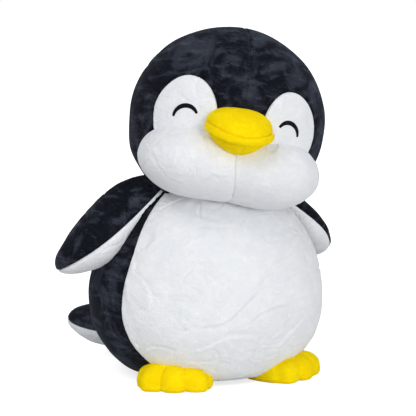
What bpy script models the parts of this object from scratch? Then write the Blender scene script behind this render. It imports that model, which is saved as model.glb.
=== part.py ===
"""Stuffed plush penguin, standing, about 0.45 m tall.

Metres, +Z up, the origin in the middle of the flat base on the floor, the
belly facing -Y. "left" is the penguin's own left, +X.

Every stuffed part is a filling with fabric panels of one thickness round it.
Each surface is a function from a direction on the unit sphere to a point, so
a panel, its lining side and its filling all come from the same function.
"""

import math

import bmesh
import bpy
from mathutils import Matrix, Vector

# Fabric and fits
FABRIC = 0.0020  # pile and backing, sewn panels
LOOSE = 0.0005  # piece to piece
SLACK = 0.0014  # filling to lining
SEAM = 0.0006  # between two panels at a seam
NECK_FREE = 0.0036  # head over shoulders, which lets the head nod
FLIPPER_FREE = 0.0016  # flipper's inner face off the flank it leans on
TAIL_FREE = 0.0042  # tail root to back, which lets the tail bend

# Torso: an egg that is round about Z
BODY_RADIUS = 0.151
BODY_WIDEST_Z = 0.0945
BODY_TOP_Z = 0.2625
BODY_BELOW = 0.120  # lower half height before the flat is cut
BODY_CELL = 0.0094  # size of the panels' facets
BELLY_ANGLES = ((0.0, 50.0), (0.029, 59.0), (0.045, 65.0), (0.12, 71.0), (0.21, 74.0))

# Neck ball
NECK_DROP = 0.0795  # middle of the ball below the body's top
NECK_PIVOT = Vector((0.005, -0.011, BODY_TOP_Z - NECK_DROP))
NECK_RADIUS = 0.094

# Head
HEAD_HALF = Vector((0.122, 0.115, 0.119))
HEAD_SINK = 0.026  # where the head leans from, below the body's top
HEAD_SEAT = Vector((-0.001, -0.030, BODY_TOP_Z - HEAD_SINK))
HEAD_RISE = 0.090  # from that seat to the middle of the head
HEAD_YAW = math.radians(-19.5)
HEAD_ROLL = math.radians(10.0)

# Face, in the head's own frame: azimuth from the face's midline, height from the middle
EYE_PATCH_AZIMUTH = math.radians(34.0)
EYE_PATCH_SPREAD = math.radians(19.5)
EYE_PATCH_Z = 0.002
EYE_PATCH_HALF_HEIGHT = 0.050
EYE_AZIMUTH = math.radians(33.0)
EYE_Z = 0.008
EYE_HALF_WIDTH = 0.0155
EYE_RISE = 0.014
EYE_SLANT = math.radians(16.0)
EYE_LINE = 0.0056  # thread width in the middle
EYE_LINE_END = 0.0018
EYE_THICK = 0.0010
CHEEK_MIDDLE = Vector((0.043, -0.066, -0.052))
CHEEK_HALF = Vector((0.070, 0.073, 0.049))
BEAK_MIDDLE = Vector((0.0, -0.113, -0.013))
BEAK_HALF_WIDTH = 0.0410
BEAK_DEPTH = 0.047
BEAK_UP = 0.035
BEAK_DOWN = 0.024
BEAK_DROOP = 0.010
LIP_RADIUS = 0.0034

# Flippers
FLIPPER_PROUD = 0.01736  # hinge outside the body's surface
FLIPPER_DROP = 0.0285  # hinge below the body's top
FLIPPER_HINGE = Vector(
    (
        BODY_RADIUS * math.sqrt(1 - (1 - FLIPPER_DROP / (BODY_TOP_Z - BODY_WIDEST_Z)) ** 2)
        + FLIPPER_PROUD,
        0.0,
        BODY_TOP_Z - FLIPPER_DROP,
    )
)
FLIPPER_LENGTH = 0.136
FLIPPER_FALL = math.radians(47.0)  # below level
FLIPPER_SWEEP = math.radians(26.0)  # towards the back
FLIPPER_TWIST = math.radians(2.0)  # front edge outwards
FLIPPER_HALF_CHORD = 0.056
FLIPPER_ROOT_CHORD = 0.034
FLIPPER_OUT = 0.044
FLIPPER_IN = 0.030
FLIPPER_CELL = 0.0105  # size of a panel's facets

# Tail
TAIL_BEARING = math.radians(26.0)  # from straight back towards the right
TAIL_ROOT_Z = 0.0365
TAIL_LENGTH = 0.116
TAIL_INSET = 0.039  # root end inside the body's widest radius
TAIL_START = BODY_RADIUS - TAIL_INSET
TAIL_HINGE = 0.013  # hinge out from the root end
TAIL_HALF_WIDTH = 0.050
TAIL_HALF_THICK = 0.030

# Feet
FOOT_INSET = 0.048  # middle of the foot inside the body's widest radius
FOOT_RADIUS = BODY_RADIUS - FOOT_INSET
FOOT_AZIMUTH = math.radians(47.0)
FOOT_SPLAY = math.radians(30.0)
FOOT_HALF_WIDTH = 0.0465
FOOT_HALF_LENGTH = 0.045
FOOT_HEIGHT = 0.029
FOOT_SEAM_Z = 0.006
TOE_SCALLOP = 0.13

FAR = 1.0


def clear_scene():
    """Removes what the startup scene holds."""
    for thing in list(bpy.data.objects):
        bpy.data.objects.remove(thing)
    for group in list(bpy.data.collections):
        bpy.data.collections.remove(group)


def finish(name, colour, roughness):
    """A Principled material with its own name and colour."""
    material = bpy.data.materials.new(name)
    material.use_nodes = True
    shader = material.node_tree.nodes["Principled BSDF"]
    shader.inputs["Base Color"].default_value = (*colour, 1.0)
    shader.inputs["Roughness"].default_value = roughness
    material.diffuse_color = (*colour, 1.0)
    return material


clear_scene()
MODEL = bpy.data.collections.new("plush_penguin")
CUTTERS = bpy.data.collections.new("cutters")
bpy.context.scene.collection.children.link(MODEL)
bpy.context.scene.collection.children.link(CUTTERS)
COLOURS = {
    "black": ((0.012, 0.015, 0.022), 0.9),
    "white": ((0.80, 0.81, 0.84), 0.9),
    "yellow": ((0.98, 0.72, 0.005), 0.9),
    "thread": ((0.006, 0.006, 0.008), 0.5),
    "stuffing": ((0.85, 0.85, 0.83), 1.0),
}


def add(name, bm, colour):
    """Links a finished bmesh as one named object, or as a hidden cutter when colour is None."""
    bmesh.ops.recalc_face_normals(bm, faces=bm.faces[:])
    if bm.calc_volume(signed=True) < 0:
        bmesh.ops.reverse_faces(bm, faces=bm.faces[:])
    mesh = bpy.data.meshes.new(name)
    bm.to_mesh(mesh)
    bm.free()
    thing = bpy.data.objects.new(name, mesh)
    if colour is None:
        CUTTERS.objects.link(thing)
        thing.hide_render = True
        thing.display_type = "WIRE"
        return thing
    MODEL.objects.link(thing)
    mesh.materials.append(finish(name, *COLOURS[colour]))
    for polygon in mesh.polygons:
        polygon.use_smooth = True
    return thing


def cut(thing, *cutters):
    """Takes each cutter out of a solid."""
    for cutter in cutters:
        modifier = thing.modifiers.new(cutter.name, "BOOLEAN")
        modifier.operation = "DIFFERENCE"
        modifier.solver = "EXACT"
        modifier.object = cutter
    return thing


def inset(shape, direction, depth):
    """The point this far inside a shape's surface, square to it."""
    d = direction.normalized()
    side = d.orthogonal().normalized()
    up = d.cross(side)
    step = 2e-3
    a = shape((d + side * step).normalized()) - shape((d - side * step).normalized())
    b = shape((d + up * step).normalized()) - shape((d - up * step).normalized())
    return shape(d) - a.cross(b).normalized() * depth


def panel(name, columns, rows, spot, shape, colour, outer=0.0, inner=FABRIC, trim=None):
    """A fabric panel: a grid laid on a shape and thickened towards the inside.

    spot maps grid coordinates in -1..1 to a direction.
    """
    bm = bmesh.new()
    bmesh.ops.create_grid(bm, x_segments=columns, y_segments=rows, size=1.0)
    grown = bmesh.ops.extrude_face_region(bm, geom=bm.faces[:])
    top = {v for v in grown["geom"] if isinstance(v, bmesh.types.BMVert)}
    for v in bm.verts:
        v.co = inset(shape, spot(v.co.x, v.co.y), outer if v in top else inner)
        if trim:
            v.co = trim(v.co)
    return add(name, bm, colour)


def stuffing(name, segments, rings, shape, colour="stuffing", depth=FABRIC + SLACK, trim=None):
    """A closed solid this far inside a shape's surface."""
    bm = bmesh.new()
    bmesh.ops.create_uvsphere(bm, u_segments=segments, v_segments=rings, radius=1.0)
    for v in bm.verts:
        v.co = inset(shape, v.co, depth)
        if trim:
            v.co = trim(v.co)
    return add(name, bm, colour)


def box(name, low, high):
    """A cutter block between two corners."""
    bm = bmesh.new()
    bmesh.ops.create_cube(bm, size=1.0)
    for v in bm.verts:
        v.co = Vector([low[i] if v.co[i] < 0 else high[i] for i in range(3)])
    return add(name, bm, None)


def disc(u, v):
    """A square's point moved onto the unit disc."""
    return u * math.sqrt(1 - v * v / 2), v * math.sqrt(1 - u * u / 2)


def cap(pole, gap, radius):
    """A map from the square to the half sphere about pole, short of the equator by gap metres."""
    pole = pole.normalized()
    side = pole.orthogonal().normalized()
    up = pole.cross(side)
    spread = math.pi / 2 - gap / radius

    def spot(u, v):
        a, b = disc(u, v)
        far = math.hypot(a, b)
        turn = far * spread
        lean = (side * a + up * b) / far if far > 1e-9 else side
        return pole * math.cos(turn) + lean * math.sin(turn)

    return spot


def mirrored(shape):
    """The same shape on the other side of the body, still facing out."""

    def other(d):
        p = shape(Vector((-d.x, d.y, d.z)))
        return Vector((-p.x, p.y, p.z))

    return other


def blend_table(table, x):
    """Straight lines between the pairs of a table."""
    if x <= table[0][0]:
        return table[0][1]
    for (x0, y0), (x1, y1) in zip(table, table[1:]):
        if x <= x1:
            return y0 + (y1 - y0) * (x - x0) / (x1 - x0)
    return table[-1][1]


def ease(x):
    """0 to 1 with flat ends."""
    x = min(max(x, 0.0), 1.0)
    return x * x * (3 - 2 * x)


def empty(name, place):
    """The axis that a moving part hangs on."""
    axis = bpy.data.objects.new(name, None)
    axis.empty_display_size = 0.03
    axis.location = place
    MODEL.objects.link(axis)
    return axis


def hang(axis, *things):
    """Parents parts to their axis without moving them."""
    for thing in things:
        thing.parent = axis
        thing.matrix_parent_inverse = Matrix.Translation(-axis.location)


# Torso


def body_shape(d):
    rise = BODY_TOP_Z - BODY_WIDEST_Z if d.z > 0 else BODY_BELOW
    return Vector((BODY_RADIUS * d.x, BODY_RADIUS * d.y, BODY_WIDEST_Z + rise * d.z))


def swollen_body(extra):
    """The torso's surface moved out by extra."""
    return lambda d: inset(body_shape, d, -extra)


BASE_LATITUDE = -math.asin(BODY_WIDEST_Z / BODY_BELOW)
BASE_RADIUS = BODY_RADIUS * math.cos(BASE_LATITUDE)


def bearing(azimuth, latitude):
    """A direction: azimuth from the front (-Y) towards the left (+X)."""
    return Vector(
        (
            math.sin(azimuth) * math.cos(latitude),
            -math.cos(azimuth) * math.cos(latitude),
            math.sin(latitude),
        )
    )


def neck_latitude(azimuth):
    """How far up the torso its panels reach: the seam that the neck ball leaves."""
    low, high = 0.3, math.pi / 2
    for _ in range(40):
        middle = (low + high) / 2
        if (body_shape(bearing(azimuth, middle)) - NECK_PIVOT).length > NECK_RADIUS:
            low = middle
        else:
            high = middle
    return low


def belly_edge(latitude):
    """Half the angle that the belly panel takes at this height."""
    return math.radians(blend_table(BELLY_ANGLES, body_shape(bearing(0.0, latitude)).z))


def body_spot(first, last):
    """A map from the square to the torso between two azimuth limits."""
    bottom = BASE_LATITUDE + SEAM / BODY_BELOW

    def spot(u, v):
        across, climb = (u + 1) / 2, (v + 1) / 2
        latitude = bottom + climb * (neck_latitude(0.0) - bottom)
        for _ in range(3):
            azimuth = first(latitude) + across * (last(latitude) - first(latitude))
            latitude = bottom + climb * (neck_latitude(azimuth) - bottom)
        return bearing(azimuth, latitude)

    return spot


def seam_angle(latitude):
    return SEAM / 2 / (BODY_RADIUS * math.cos(latitude))


def build_torso():
    cells = round(BODY_RADIUS / BODY_CELL)
    belly = panel(
        "belly_panel", cells, 14,
        body_spot(
            lambda t: seam_angle(t) - belly_edge(t), lambda t: belly_edge(t) - seam_angle(t)
        ),
        body_shape, "white",
    )
    left = panel(
        "body_back_left", round(0.6 * cells), 14,
        body_spot(lambda t: belly_edge(t) + seam_angle(t), lambda t: math.pi - seam_angle(t)),
        body_shape, "black",
    )
    right = panel(
        "body_back_right", round(0.6 * cells), 14,
        body_spot(lambda t: seam_angle(t) - math.pi, lambda t: -belly_edge(t) - seam_angle(t)),
        body_shape, "black",
    )
    bm = bmesh.new()
    edge = BASE_RADIUS - FABRIC
    bmesh.ops.create_cone(
        bm, cap_ends=True, segments=48, radius1=edge, radius2=edge, depth=FABRIC
    )
    bmesh.ops.translate(bm, verts=bm.verts[:], vec=(0.0, 0.0, FABRIC / 2))
    base = add("base_panel", bm, "black")
    floor = FABRIC + LOOSE
    filling = stuffing(
        "body_filling", round(1.75 * cells), round(1.125 * cells), body_shape,
        trim=lambda p: Vector((p.x, p.y, max(p.z, floor))),
    )
    return [belly, left, right, base, filling]


# Head

HEAD = (
    Matrix.Translation(HEAD_SEAT)
    @ Matrix.Rotation(HEAD_YAW, 4, "Z")
    @ Matrix.Rotation(HEAD_ROLL, 4, "Y")
    @ Matrix.Translation((0.0, 0.0, HEAD_RISE))
)


def head_shape(d):
    return HEAD @ Vector([HEAD_HALF[i] * d[i] for i in range(3)])


def face_spot(azimuth, height):
    """The head's direction at an azimuth from the face's midline and a height from the middle."""
    z = height / HEAD_HALF.z
    level = math.sqrt(1 - z * z)
    return Vector((math.sin(azimuth) * level, -math.cos(azimuth) * level, z))


def patch_spot(side, grow):
    """A map from the square to an eye patch."""

    def spot(u, v):
        a, b = disc(u, v)
        spread = EYE_PATCH_SPREAD + grow / HEAD_HALF.x
        return face_spot(
            side * (EYE_PATCH_AZIMUTH + a * spread),
            EYE_PATCH_Z + b * (EYE_PATCH_HALF_HEIGHT + grow),
        )

    return spot


def eye_spot(side):
    """A map from the square to one embroidered eye: u along the arc, v across the line."""

    def spot(u, v):
        turn = u * math.radians(78)
        half = EYE_LINE_END + (EYE_LINE - EYE_LINE_END) * math.cos(turn) ** 0.8
        rim = 1 + v * half / 2 / EYE_HALF_WIDTH
        x = EYE_HALF_WIDTH * math.sin(turn) * rim
        y = EYE_RISE * (math.cos(turn) - 0.5) * rim
        slant = -EYE_SLANT
        along = x * math.cos(slant) - y * math.sin(slant)
        rise = x * math.sin(slant) + y * math.cos(slant)
        azimuth = EYE_AZIMUTH + along / HEAD_HALF.x
        return face_spot(side * azimuth, EYE_Z + rise)

    return spot


def cheek_shape(side):
    middle = Vector((side * CHEEK_MIDDLE.x, CHEEK_MIDDLE.y, CHEEK_MIDDLE.z))

    def shape(d):
        return HEAD @ (middle + Vector([CHEEK_HALF[i] * d[i] for i in range(3)]))

    return shape


def beak_shape(d):
    x = BEAK_HALF_WIDTH * d.x
    lip = BEAK_DROOP * (d.x * d.x - 0.1)
    z = lip + (BEAK_UP if d.z > 0 else BEAK_DOWN) * d.z
    return HEAD @ (BEAK_MIDDLE + Vector((x, BEAK_DEPTH * d.y, z)))


def beak_spot(side):
    """A map from the square to the front of one half of the beak, clear of the lip."""
    bottom = (LIP_RADIUS + LOOSE) / (BEAK_UP if side > 0 else BEAK_DOWN)

    def spot(u, v):
        azimuth = u * math.radians(88)
        latitude = math.asin(bottom) + (v + 1) / 2 * (math.radians(84) - math.asin(bottom))
        d = bearing(azimuth, latitude)
        return Vector((d.x, d.y, side * d.z))

    return spot


def build_lip():
    """The rolled lip: a tube that follows the beak's rim."""
    bm = bmesh.new()
    around, along = 8, 20
    bmesh.ops.create_grid(bm, x_segments=around, y_segments=along, size=1.0)
    for v in bm.verts:
        turn, azimuth = v.co.x * math.pi, v.co.y * math.radians(86)
        d = bearing(azimuth, 0.0)
        middle = inset(beak_shape, d, -0.0008)
        out = (middle - beak_shape(d)).normalized()
        up = HEAD.to_3x3() @ Vector((0.0, 0.0, 1.0))
        v.co = middle + (out * math.cos(turn) + up * math.sin(turn)) * LIP_RADIUS
    bmesh.ops.remove_doubles(bm, verts=bm.verts[:], dist=1e-6)
    bmesh.ops.holes_fill(bm, edges=bm.edges[:], sides=around + 1)
    return add("beak_lip", bm, "yellow")


def build_head():
    ball = stuffing("neck_ball_cutter", 28, 20, lambda d: NECK_PIVOT + d * NECK_RADIUS, None, -LOOSE)
    shoulders = stuffing("shoulder_cutter", 40, 28, swollen_body(NECK_FREE), None, 0.0)
    near_body = stuffing("torso_cutter", 40, 28, swollen_body(LOOSE), None, 0.0)
    skull = stuffing("skull_cutter", 40, 28, head_shape, None, -2 * LOOSE)
    core = stuffing("core_cutter", 32, 24, head_shape, None, FABRIC)
    beak_all = stuffing(
        "beak_cutter", 28, 24,
        lambda d: inset(beak_shape, d, -LOOSE - (LIP_RADIUS + 0.0012) * math.exp(-((d.z / 0.2) ** 2))),
        None, 0.0,
    )
    neck = cut(
        stuffing("neck_filling", 24, 18, lambda d: NECK_PIVOT + d * NECK_RADIUS, depth=LOOSE),
        near_body,
    )
    filling = cut(stuffing("head_filling", 24, 18, head_shape), ball, shoulders)
    chin = box("chin_cutter", (-0.046, -0.150, -0.150), (0.046, -0.015, CHEEK_MIDDLE.z))
    chin.data.transform(HEAD)
    pieces = [filling]
    for side, word in ((1, "left"), (-1, "right")):
        cheek = cheek_shape(side)
        cheek_all = stuffing(f"cheek_{word}_cutter", 28, 20, cheek, None, -LOOSE)
        patch_all = panel(
            f"eye_patch_{word}_cutter", 10, 10, patch_spot(side, SEAM / 2), head_shape, None,
            -0.010, 0.012,
        )
        other = box(
            f"midline_{word}_cutter",
            (-FAR if side > 0 else -SEAM / 2, -FAR, -FAR),
            (SEAM / 2 if side > 0 else FAR, FAR, FAR),
        )
        other.data.transform(HEAD)
        pieces.append(
            cut(
                panel(
                    f"head_{word}", 16, 16, cap(Vector((side, 0.0, 0.0)), SEAM / 2, HEAD_HALF.z),
                    head_shape, "black",
                ),
                patch_all, cheek_all, chin, ball, shoulders,
            )
        )
        pieces.append(
            cut(
                panel(
                    f"eye_patch_{word}", 10, 10, patch_spot(side, -SEAM / 2), head_shape, "white"
                ),
                cheek_all,
            )
        )
        pieces.append(
            panel(
                f"eye_{word}", 14, 2, eye_spot(side), head_shape, "thread",
                -LOOSE - EYE_THICK, -LOOSE,
            )
        )
        front = Vector((side * 0.25, -1.0, -0.1))
        pieces.append(
            cut(
                panel(
                    f"cheek_{word}", 16, 16,
                    cap(front, -0.62 * CHEEK_HALF.y, CHEEK_HALF.y), cheek, "white",
                ),
                skull, other, beak_all, shoulders,
            )
        )
        pieces.append(
            cut(
                stuffing(f"cheek_filling_{word}", 20, 14, cheek),
                core, other, beak_all, shoulders,
            )
        )
    for side, word in ((1, "upper"), (-1, "lower")):
        pieces.append(
            cut(panel(f"beak_{word}", 16, 8, beak_spot(side), beak_shape, "yellow"), skull)
        )
    pieces.append(cut(build_lip(), skull))
    pieces.append(
        cut(stuffing("beak_filling", 18, 12, beak_shape, depth=FABRIC + SLACK), skull)
    )
    return neck, pieces


# Flippers


def lie_on_torso(p, out, free):
    """Pushes a point that would be inside the torso along out to this clear of it."""
    round_ = BODY_RADIUS + free
    high = BODY_TOP_Z - BODY_WIDEST_Z + free
    at = Vector((p.x / round_, p.y / round_, (p.z - BODY_WIDEST_Z) / high))
    if at.length >= 1:
        return p
    way = Vector((out.x / round_, out.y / round_, out.z / high))
    a, b, c = way.dot(way), at.dot(way), at.dot(at) - 1
    return p + out * ((math.sqrt(b * b - a * c) - b) / a)


def flipper_shape(d, depth=0.0):
    """The left flipper, or its inside: x along it, y across, z from its inner to its outer face."""
    s = (1 + d.x) / 2
    chord = FLIPPER_ROOT_CHORD + (FLIPPER_HALF_CHORD - FLIPPER_ROOT_CHORD) * math.sin(
        min(s / 0.62, 1.0) * math.pi / 2
    )
    if d.z > 0:
        thick = FLIPPER_OUT * (0.80 + 0.20 * ease(s / 0.5))
    else:
        thick = FLIPPER_IN * (0.45 + 0.55 * ease(s / 0.6))
    x = depth + (FLIPPER_LENGTH - 2 * depth) * s
    p = FLIPPER_FRAME @ Vector((x, (chord - depth) * d.y, (thick - depth) * d.z))
    out = FLIPPER_FRAME.to_3x3() @ Vector((0.0, 0.0, 1.0))
    return lie_on_torso(p, out, FLIPPER_FREE + depth)


FLIPPER_FRAME = (
    Matrix.Translation(FLIPPER_HINGE)
    @ Matrix.Rotation(FLIPPER_SWEEP, 4, "Z")
    @ Matrix.Rotation(FLIPPER_FALL, 4, "Y")
    @ Matrix.Rotation(-FLIPPER_TWIST, 4, "X")
)


def flipper_half(side, face):
    """Keeps a point on one side of the flipper's seam plane: face is 1 outside, -1 inside."""
    back = FLIPPER_FRAME.inverted()

    def trim(p):
        q = back @ Vector((side * p.x, p.y, p.z))
        q.z = face * max(face * q.z, SEAM / 2)
        q = FLIPPER_FRAME @ q
        return Vector((side * q.x, q.y, q.z))

    return trim


def build_flipper(side, word):
    shape, core = flipper_shape, lambda d: flipper_shape(d, FABRIC + 1.5 * SLACK)
    if side < 0:
        shape, core = mirrored(shape), mirrored(core)
    out = Vector((0.0, 0.0, 1.0))
    cells = round(FLIPPER_LENGTH / FLIPPER_CELL)
    return [
        panel(
            f"flipper_{word}_outer", cells, cells, cap(out, 2 * SEAM, 0.03), shape, "black",
            trim=flipper_half(side, 1),
        ),
        panel(
            f"flipper_{word}_inner", cells, cells, cap(-out, 2 * SEAM, 0.03), shape, "white",
            trim=flipper_half(side, -1),
        ),
        stuffing(
            f"flipper_{word}_filling", round(1.4 * cells), round(0.9 * cells), core, depth=0.0
        ),
    ]


# Tail

TAIL_FRAME = Matrix.Rotation(TAIL_BEARING, 4, "Z") @ Matrix.Rotation(math.pi / 2, 4, "Z")


def tail_shape(d):
    """x out along the tail, y across it, z up."""
    s = (1 + d.x) / 2
    width = TAIL_HALF_WIDTH * (1 - 0.15 * s)
    p = Vector(
        (
            TAIL_START + TAIL_LENGTH * s,
            width * d.y,
            TAIL_ROOT_Z + 0.010 * s + TAIL_HALF_THICK * d.z * (1 - 0.25 * s),
        )
    )
    return TAIL_FRAME @ p


def build_tail():
    back = stuffing("tail_body_cutter", 40, 28, swollen_body(TAIL_FREE), None, 0.0)
    up = Vector((0.0, 0.0, 1.0))
    return [
        cut(panel("tail_top", 12, 12, cap(up, 2 * SEAM, 0.03), tail_shape, "black"), back),
        cut(panel("tail_under", 12, 12, cap(-up, 2 * SEAM, 0.03), tail_shape, "white"), back),
        cut(stuffing("tail_filling", 18, 12, tail_shape), back),
    ]


# Feet


def foot_shape(d):
    """The left foot: x across it, -y towards the toes, z up from the floor."""
    angle = math.atan2(d.x, -d.y)
    front = ease((math.radians(72) - abs(angle)) / math.radians(20))
    toes = 1 + TOE_SCALLOP * front * (math.cos(8 * angle) - 0.6) / 2
    x = FOOT_HALF_WIDTH * d.x * (1 - 0.10 * (1 + d.y) / 2) * toes
    y = FOOT_HALF_LENGTH * d.y * toes
    if d.z > 0:
        z = FOOT_SEAM_Z + (FOOT_HEIGHT - FOOT_SEAM_Z) * d.z**0.8
    else:
        z = FOOT_SEAM_Z * (1 - min(-d.z * 2.5, 1.0))
    return FOOT_FRAME @ Vector((x, y, z))


FOOT_FRAME = Matrix.Translation(
    (FOOT_RADIUS * math.sin(FOOT_AZIMUTH), -FOOT_RADIUS * math.cos(FOOT_AZIMUTH), 0.0)
) @ Matrix.Rotation(FOOT_SPLAY, 4, "Z")


def build_foot(side, word):
    shape = foot_shape if side > 0 else mirrored(foot_shape)
    near = bpy.data.objects["torso_cutter"]
    up = Vector((0.0, 0.0, 1.0))
    return [
        cut(panel(f"foot_{word}_top", 16, 16, cap(up, SEAM, 0.03), shape, "yellow"), near),
        cut(panel(f"foot_{word}_sole", 12, 12, cap(-up, SEAM, 0.03), shape, "yellow"), near),
        cut(stuffing(f"foot_{word}_filling", 22, 12, shape), near),
    ]


build_torso()
neck, head = build_head()
turn_axis = empty("neck_turn_axis", (0.0, 0.0, 0.25))
nod_axis = empty("head_nod_axis", NECK_PIVOT)
hang(turn_axis, neck)
hang(nod_axis, *head)
for side, word in ((1, "left"), (-1, "right")):
    shoulder = empty(
        f"flipper_{word}_axis", (side * FLIPPER_HINGE.x, FLIPPER_HINGE.y, FLIPPER_HINGE.z)
    )
    hang(shoulder, *build_flipper(side, word))
    build_foot(side, word)
tail_axis = empty(
    "tail_axis",
    TAIL_FRAME @ Vector((TAIL_START + TAIL_HINGE, 0.0, TAIL_ROOT_Z)),
)
hang(tail_axis, *build_tail())
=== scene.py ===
"""Looks of a stuffed plush penguin that stands about 0.45 m tall.

Every sewn part of the toy is a panel of short-pile fabric laid over a stuffed
shape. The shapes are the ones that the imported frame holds, in metres, with +Z
up and the belly facing -Y. "left" is the penguin's own left, +X.
"""

from __future__ import annotations

import logging
import math
from dataclasses import dataclass, field
from enum import Enum
from functools import cached_property
from typing import Callable, Optional, Sequence

import bmesh
import bpy
import numpy as np
from mathutils import Matrix, Vector, kdtree, noise

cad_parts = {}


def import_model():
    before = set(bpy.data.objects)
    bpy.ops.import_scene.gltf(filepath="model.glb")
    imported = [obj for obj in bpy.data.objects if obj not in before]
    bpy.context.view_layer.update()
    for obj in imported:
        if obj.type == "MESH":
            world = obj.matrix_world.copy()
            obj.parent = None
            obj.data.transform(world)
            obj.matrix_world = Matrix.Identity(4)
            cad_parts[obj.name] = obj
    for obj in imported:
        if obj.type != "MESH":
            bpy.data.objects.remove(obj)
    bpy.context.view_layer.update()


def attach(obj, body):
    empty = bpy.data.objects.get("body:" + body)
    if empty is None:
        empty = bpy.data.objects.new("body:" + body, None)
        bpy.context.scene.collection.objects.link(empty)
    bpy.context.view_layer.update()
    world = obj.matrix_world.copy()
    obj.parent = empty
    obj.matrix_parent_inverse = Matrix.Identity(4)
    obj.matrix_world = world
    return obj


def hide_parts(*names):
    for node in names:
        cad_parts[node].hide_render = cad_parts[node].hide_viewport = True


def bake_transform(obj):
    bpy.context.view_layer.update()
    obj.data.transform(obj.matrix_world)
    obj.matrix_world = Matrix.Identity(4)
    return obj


LOG = logging.getLogger("plush_penguin")

Points = np.ndarray
Shape = Callable[[Points], Points]
Spot = Callable[[np.ndarray, np.ndarray], Points]
Settle = Callable[[Points], Points]
Colour = tuple[float, float, float]


class Hand(Enum):
    """The penguin's own left or right, as the sign of X."""

    LEFT = 1
    RIGHT = -1

    @property
    def word(self) -> str:
        """The side's name, as the frame's nodes use it."""
        return self.name.lower()


class Border(Enum):
    """One side of a panel's grid."""

    START = "start"
    END = "end"
    BOTTOM = "bottom"
    TOP = "top"


ALL_ROUND = (Border.START, Border.END, Border.BOTTOM, Border.TOP)
SIDES_ONLY = (Border.START, Border.END)


# Geometry helpers


def unit(vectors: Points) -> Points:
    """Each row scaled to length one."""
    return vectors / np.maximum(np.linalg.norm(vectors, axis=1, keepdims=True), 1e-12)


def moved(points: Points, matrix: Matrix) -> Points:
    """Points taken through a 4 x 4 matrix."""
    m = np.array(matrix)
    return points @ m[:3, :3].T + m[:3, 3]


def eased(x: np.ndarray) -> np.ndarray:
    """0 to 1 with flat ends."""
    t = np.clip(x, 0.0, 1.0)
    return t * t * (3 - 2 * t)


def bell(x: np.ndarray, width: float = 1.0) -> np.ndarray:
    """1 at zero, falling to almost nothing two widths away."""
    return np.exp(-((x / width) ** 2))


def rolled(far: np.ndarray, width: float) -> np.ndarray:
    """A quarter round from -1 at a seam to 0 at this distance from it."""
    inside = np.clip(far / width, 0.0, 1.0)
    return np.sqrt(np.maximum(1 - (1 - inside) ** 2, 0.0)) - 1


def above(level: float) -> Settle:
    """Keeps points at least this high over the floor."""
    return lambda p: np.column_stack((p[:, :2], np.maximum(p[:, 2], level)))


def toward(azimuth: float, elevation: float) -> Vector:
    """The direction of an azimuth off the front, -Y, and an elevation, in degrees."""
    a, e = math.radians(azimuth), math.radians(elevation)
    return Vector((math.sin(a) * math.cos(e), -math.cos(a) * math.cos(e), math.sin(e)))


def bearing(azimuth: np.ndarray, latitude: np.ndarray) -> Points:
    """Directions from an azimuth off the front, -Y, and a latitude."""
    level = np.cos(latitude)
    return np.stack(
        (np.sin(azimuth) * level, -np.cos(azimuth) * level, np.sin(latitude)), axis=1
    )


def square(columns: int, rows: int) -> tuple[np.ndarray, np.ndarray]:
    """The places of a grid's points from -1 to 1, bottom row first."""
    u, v = np.meshgrid(np.linspace(-1, 1, columns + 1), np.linspace(-1, 1, rows + 1))
    return u.ravel(), v.ravel()


def disc(u: np.ndarray, v: np.ndarray) -> tuple[np.ndarray, np.ndarray]:
    """A square's points moved onto the unit disc."""
    return u * np.sqrt(1 - v * v / 2), v * np.sqrt(1 - u * u / 2)


def normals_of(shape: Shape, directions: Points, step: float = 2e-3) -> Points:
    """Outward normals of a shape at some directions.

    Args:
        shape: maps directions to points.
        directions: unit rows.
        step: how far to each side the slope is taken, in radians.

    Returns:
        One unit normal for each row.
    """
    d = unit(directions)
    helper = np.where(np.abs(d[:, :1]) < 0.8, [[1.0, 0.0, 0.0]], [[0.0, 1.0, 0.0]])
    side = unit(np.cross(d, helper))
    up = np.cross(d, side)
    a = shape(unit(d + side * step)) - shape(unit(d - side * step))
    b = shape(unit(d + up * step)) - shape(unit(d - up * step))
    return unit(np.cross(a, b))


def noise_at(points: Points, size: float, seed: float = 0.0) -> np.ndarray:
    """Smooth noise from -1 to 1 with patches of about this size, the same on every run."""
    rows = (points / size + seed).tolist()
    return np.array([noise.noise(Vector(row)) for row in rows])


def mirrored(shape: Shape) -> Shape:
    """The same shape on the other side of the body, still facing out."""
    flip = np.array((-1.0, 1.0, 1.0))
    return lambda d: shape(d * flip) * flip


def cap(pole: Sequence[float], spread: float) -> Spot:
    """A map from the square to the part of the sphere round a pole.

    Args:
        pole: the direction in the middle.
        spread: how far from it the edge lies, in radians.

    Returns:
        The map.
    """
    middle = Vector(pole).normalized()
    side = middle.orthogonal().normalized()
    up = middle.cross(side)
    m, s, t = (np.array(w) for w in (middle, side, up))

    def spot(u: np.ndarray, v: np.ndarray) -> Points:
        """Directions of the square's points."""
        a, b = disc(u, v)
        far = np.hypot(a, b)
        turn = (far * spread)[:, None]
        lean = (a[:, None] * s + b[:, None] * t) / np.maximum(far, 1e-9)[:, None]
        return m * np.cos(turn) + lean * np.sin(turn)

    return spot


# Fabric relief


@dataclass(frozen=True)
class Lumps:
    """Stuffing that shows softly through the fabric.

    Attributes:
        height: how far it pushes the fabric out or lets it in.
        size: across one lump.
        seed: picks another arrangement.
    """

    height: float
    size: float
    seed: float = 0.0

    def at(self, points: Points) -> np.ndarray:
        """The lift at each point."""
        return self.height * noise_at(points, self.size, self.seed)


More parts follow.
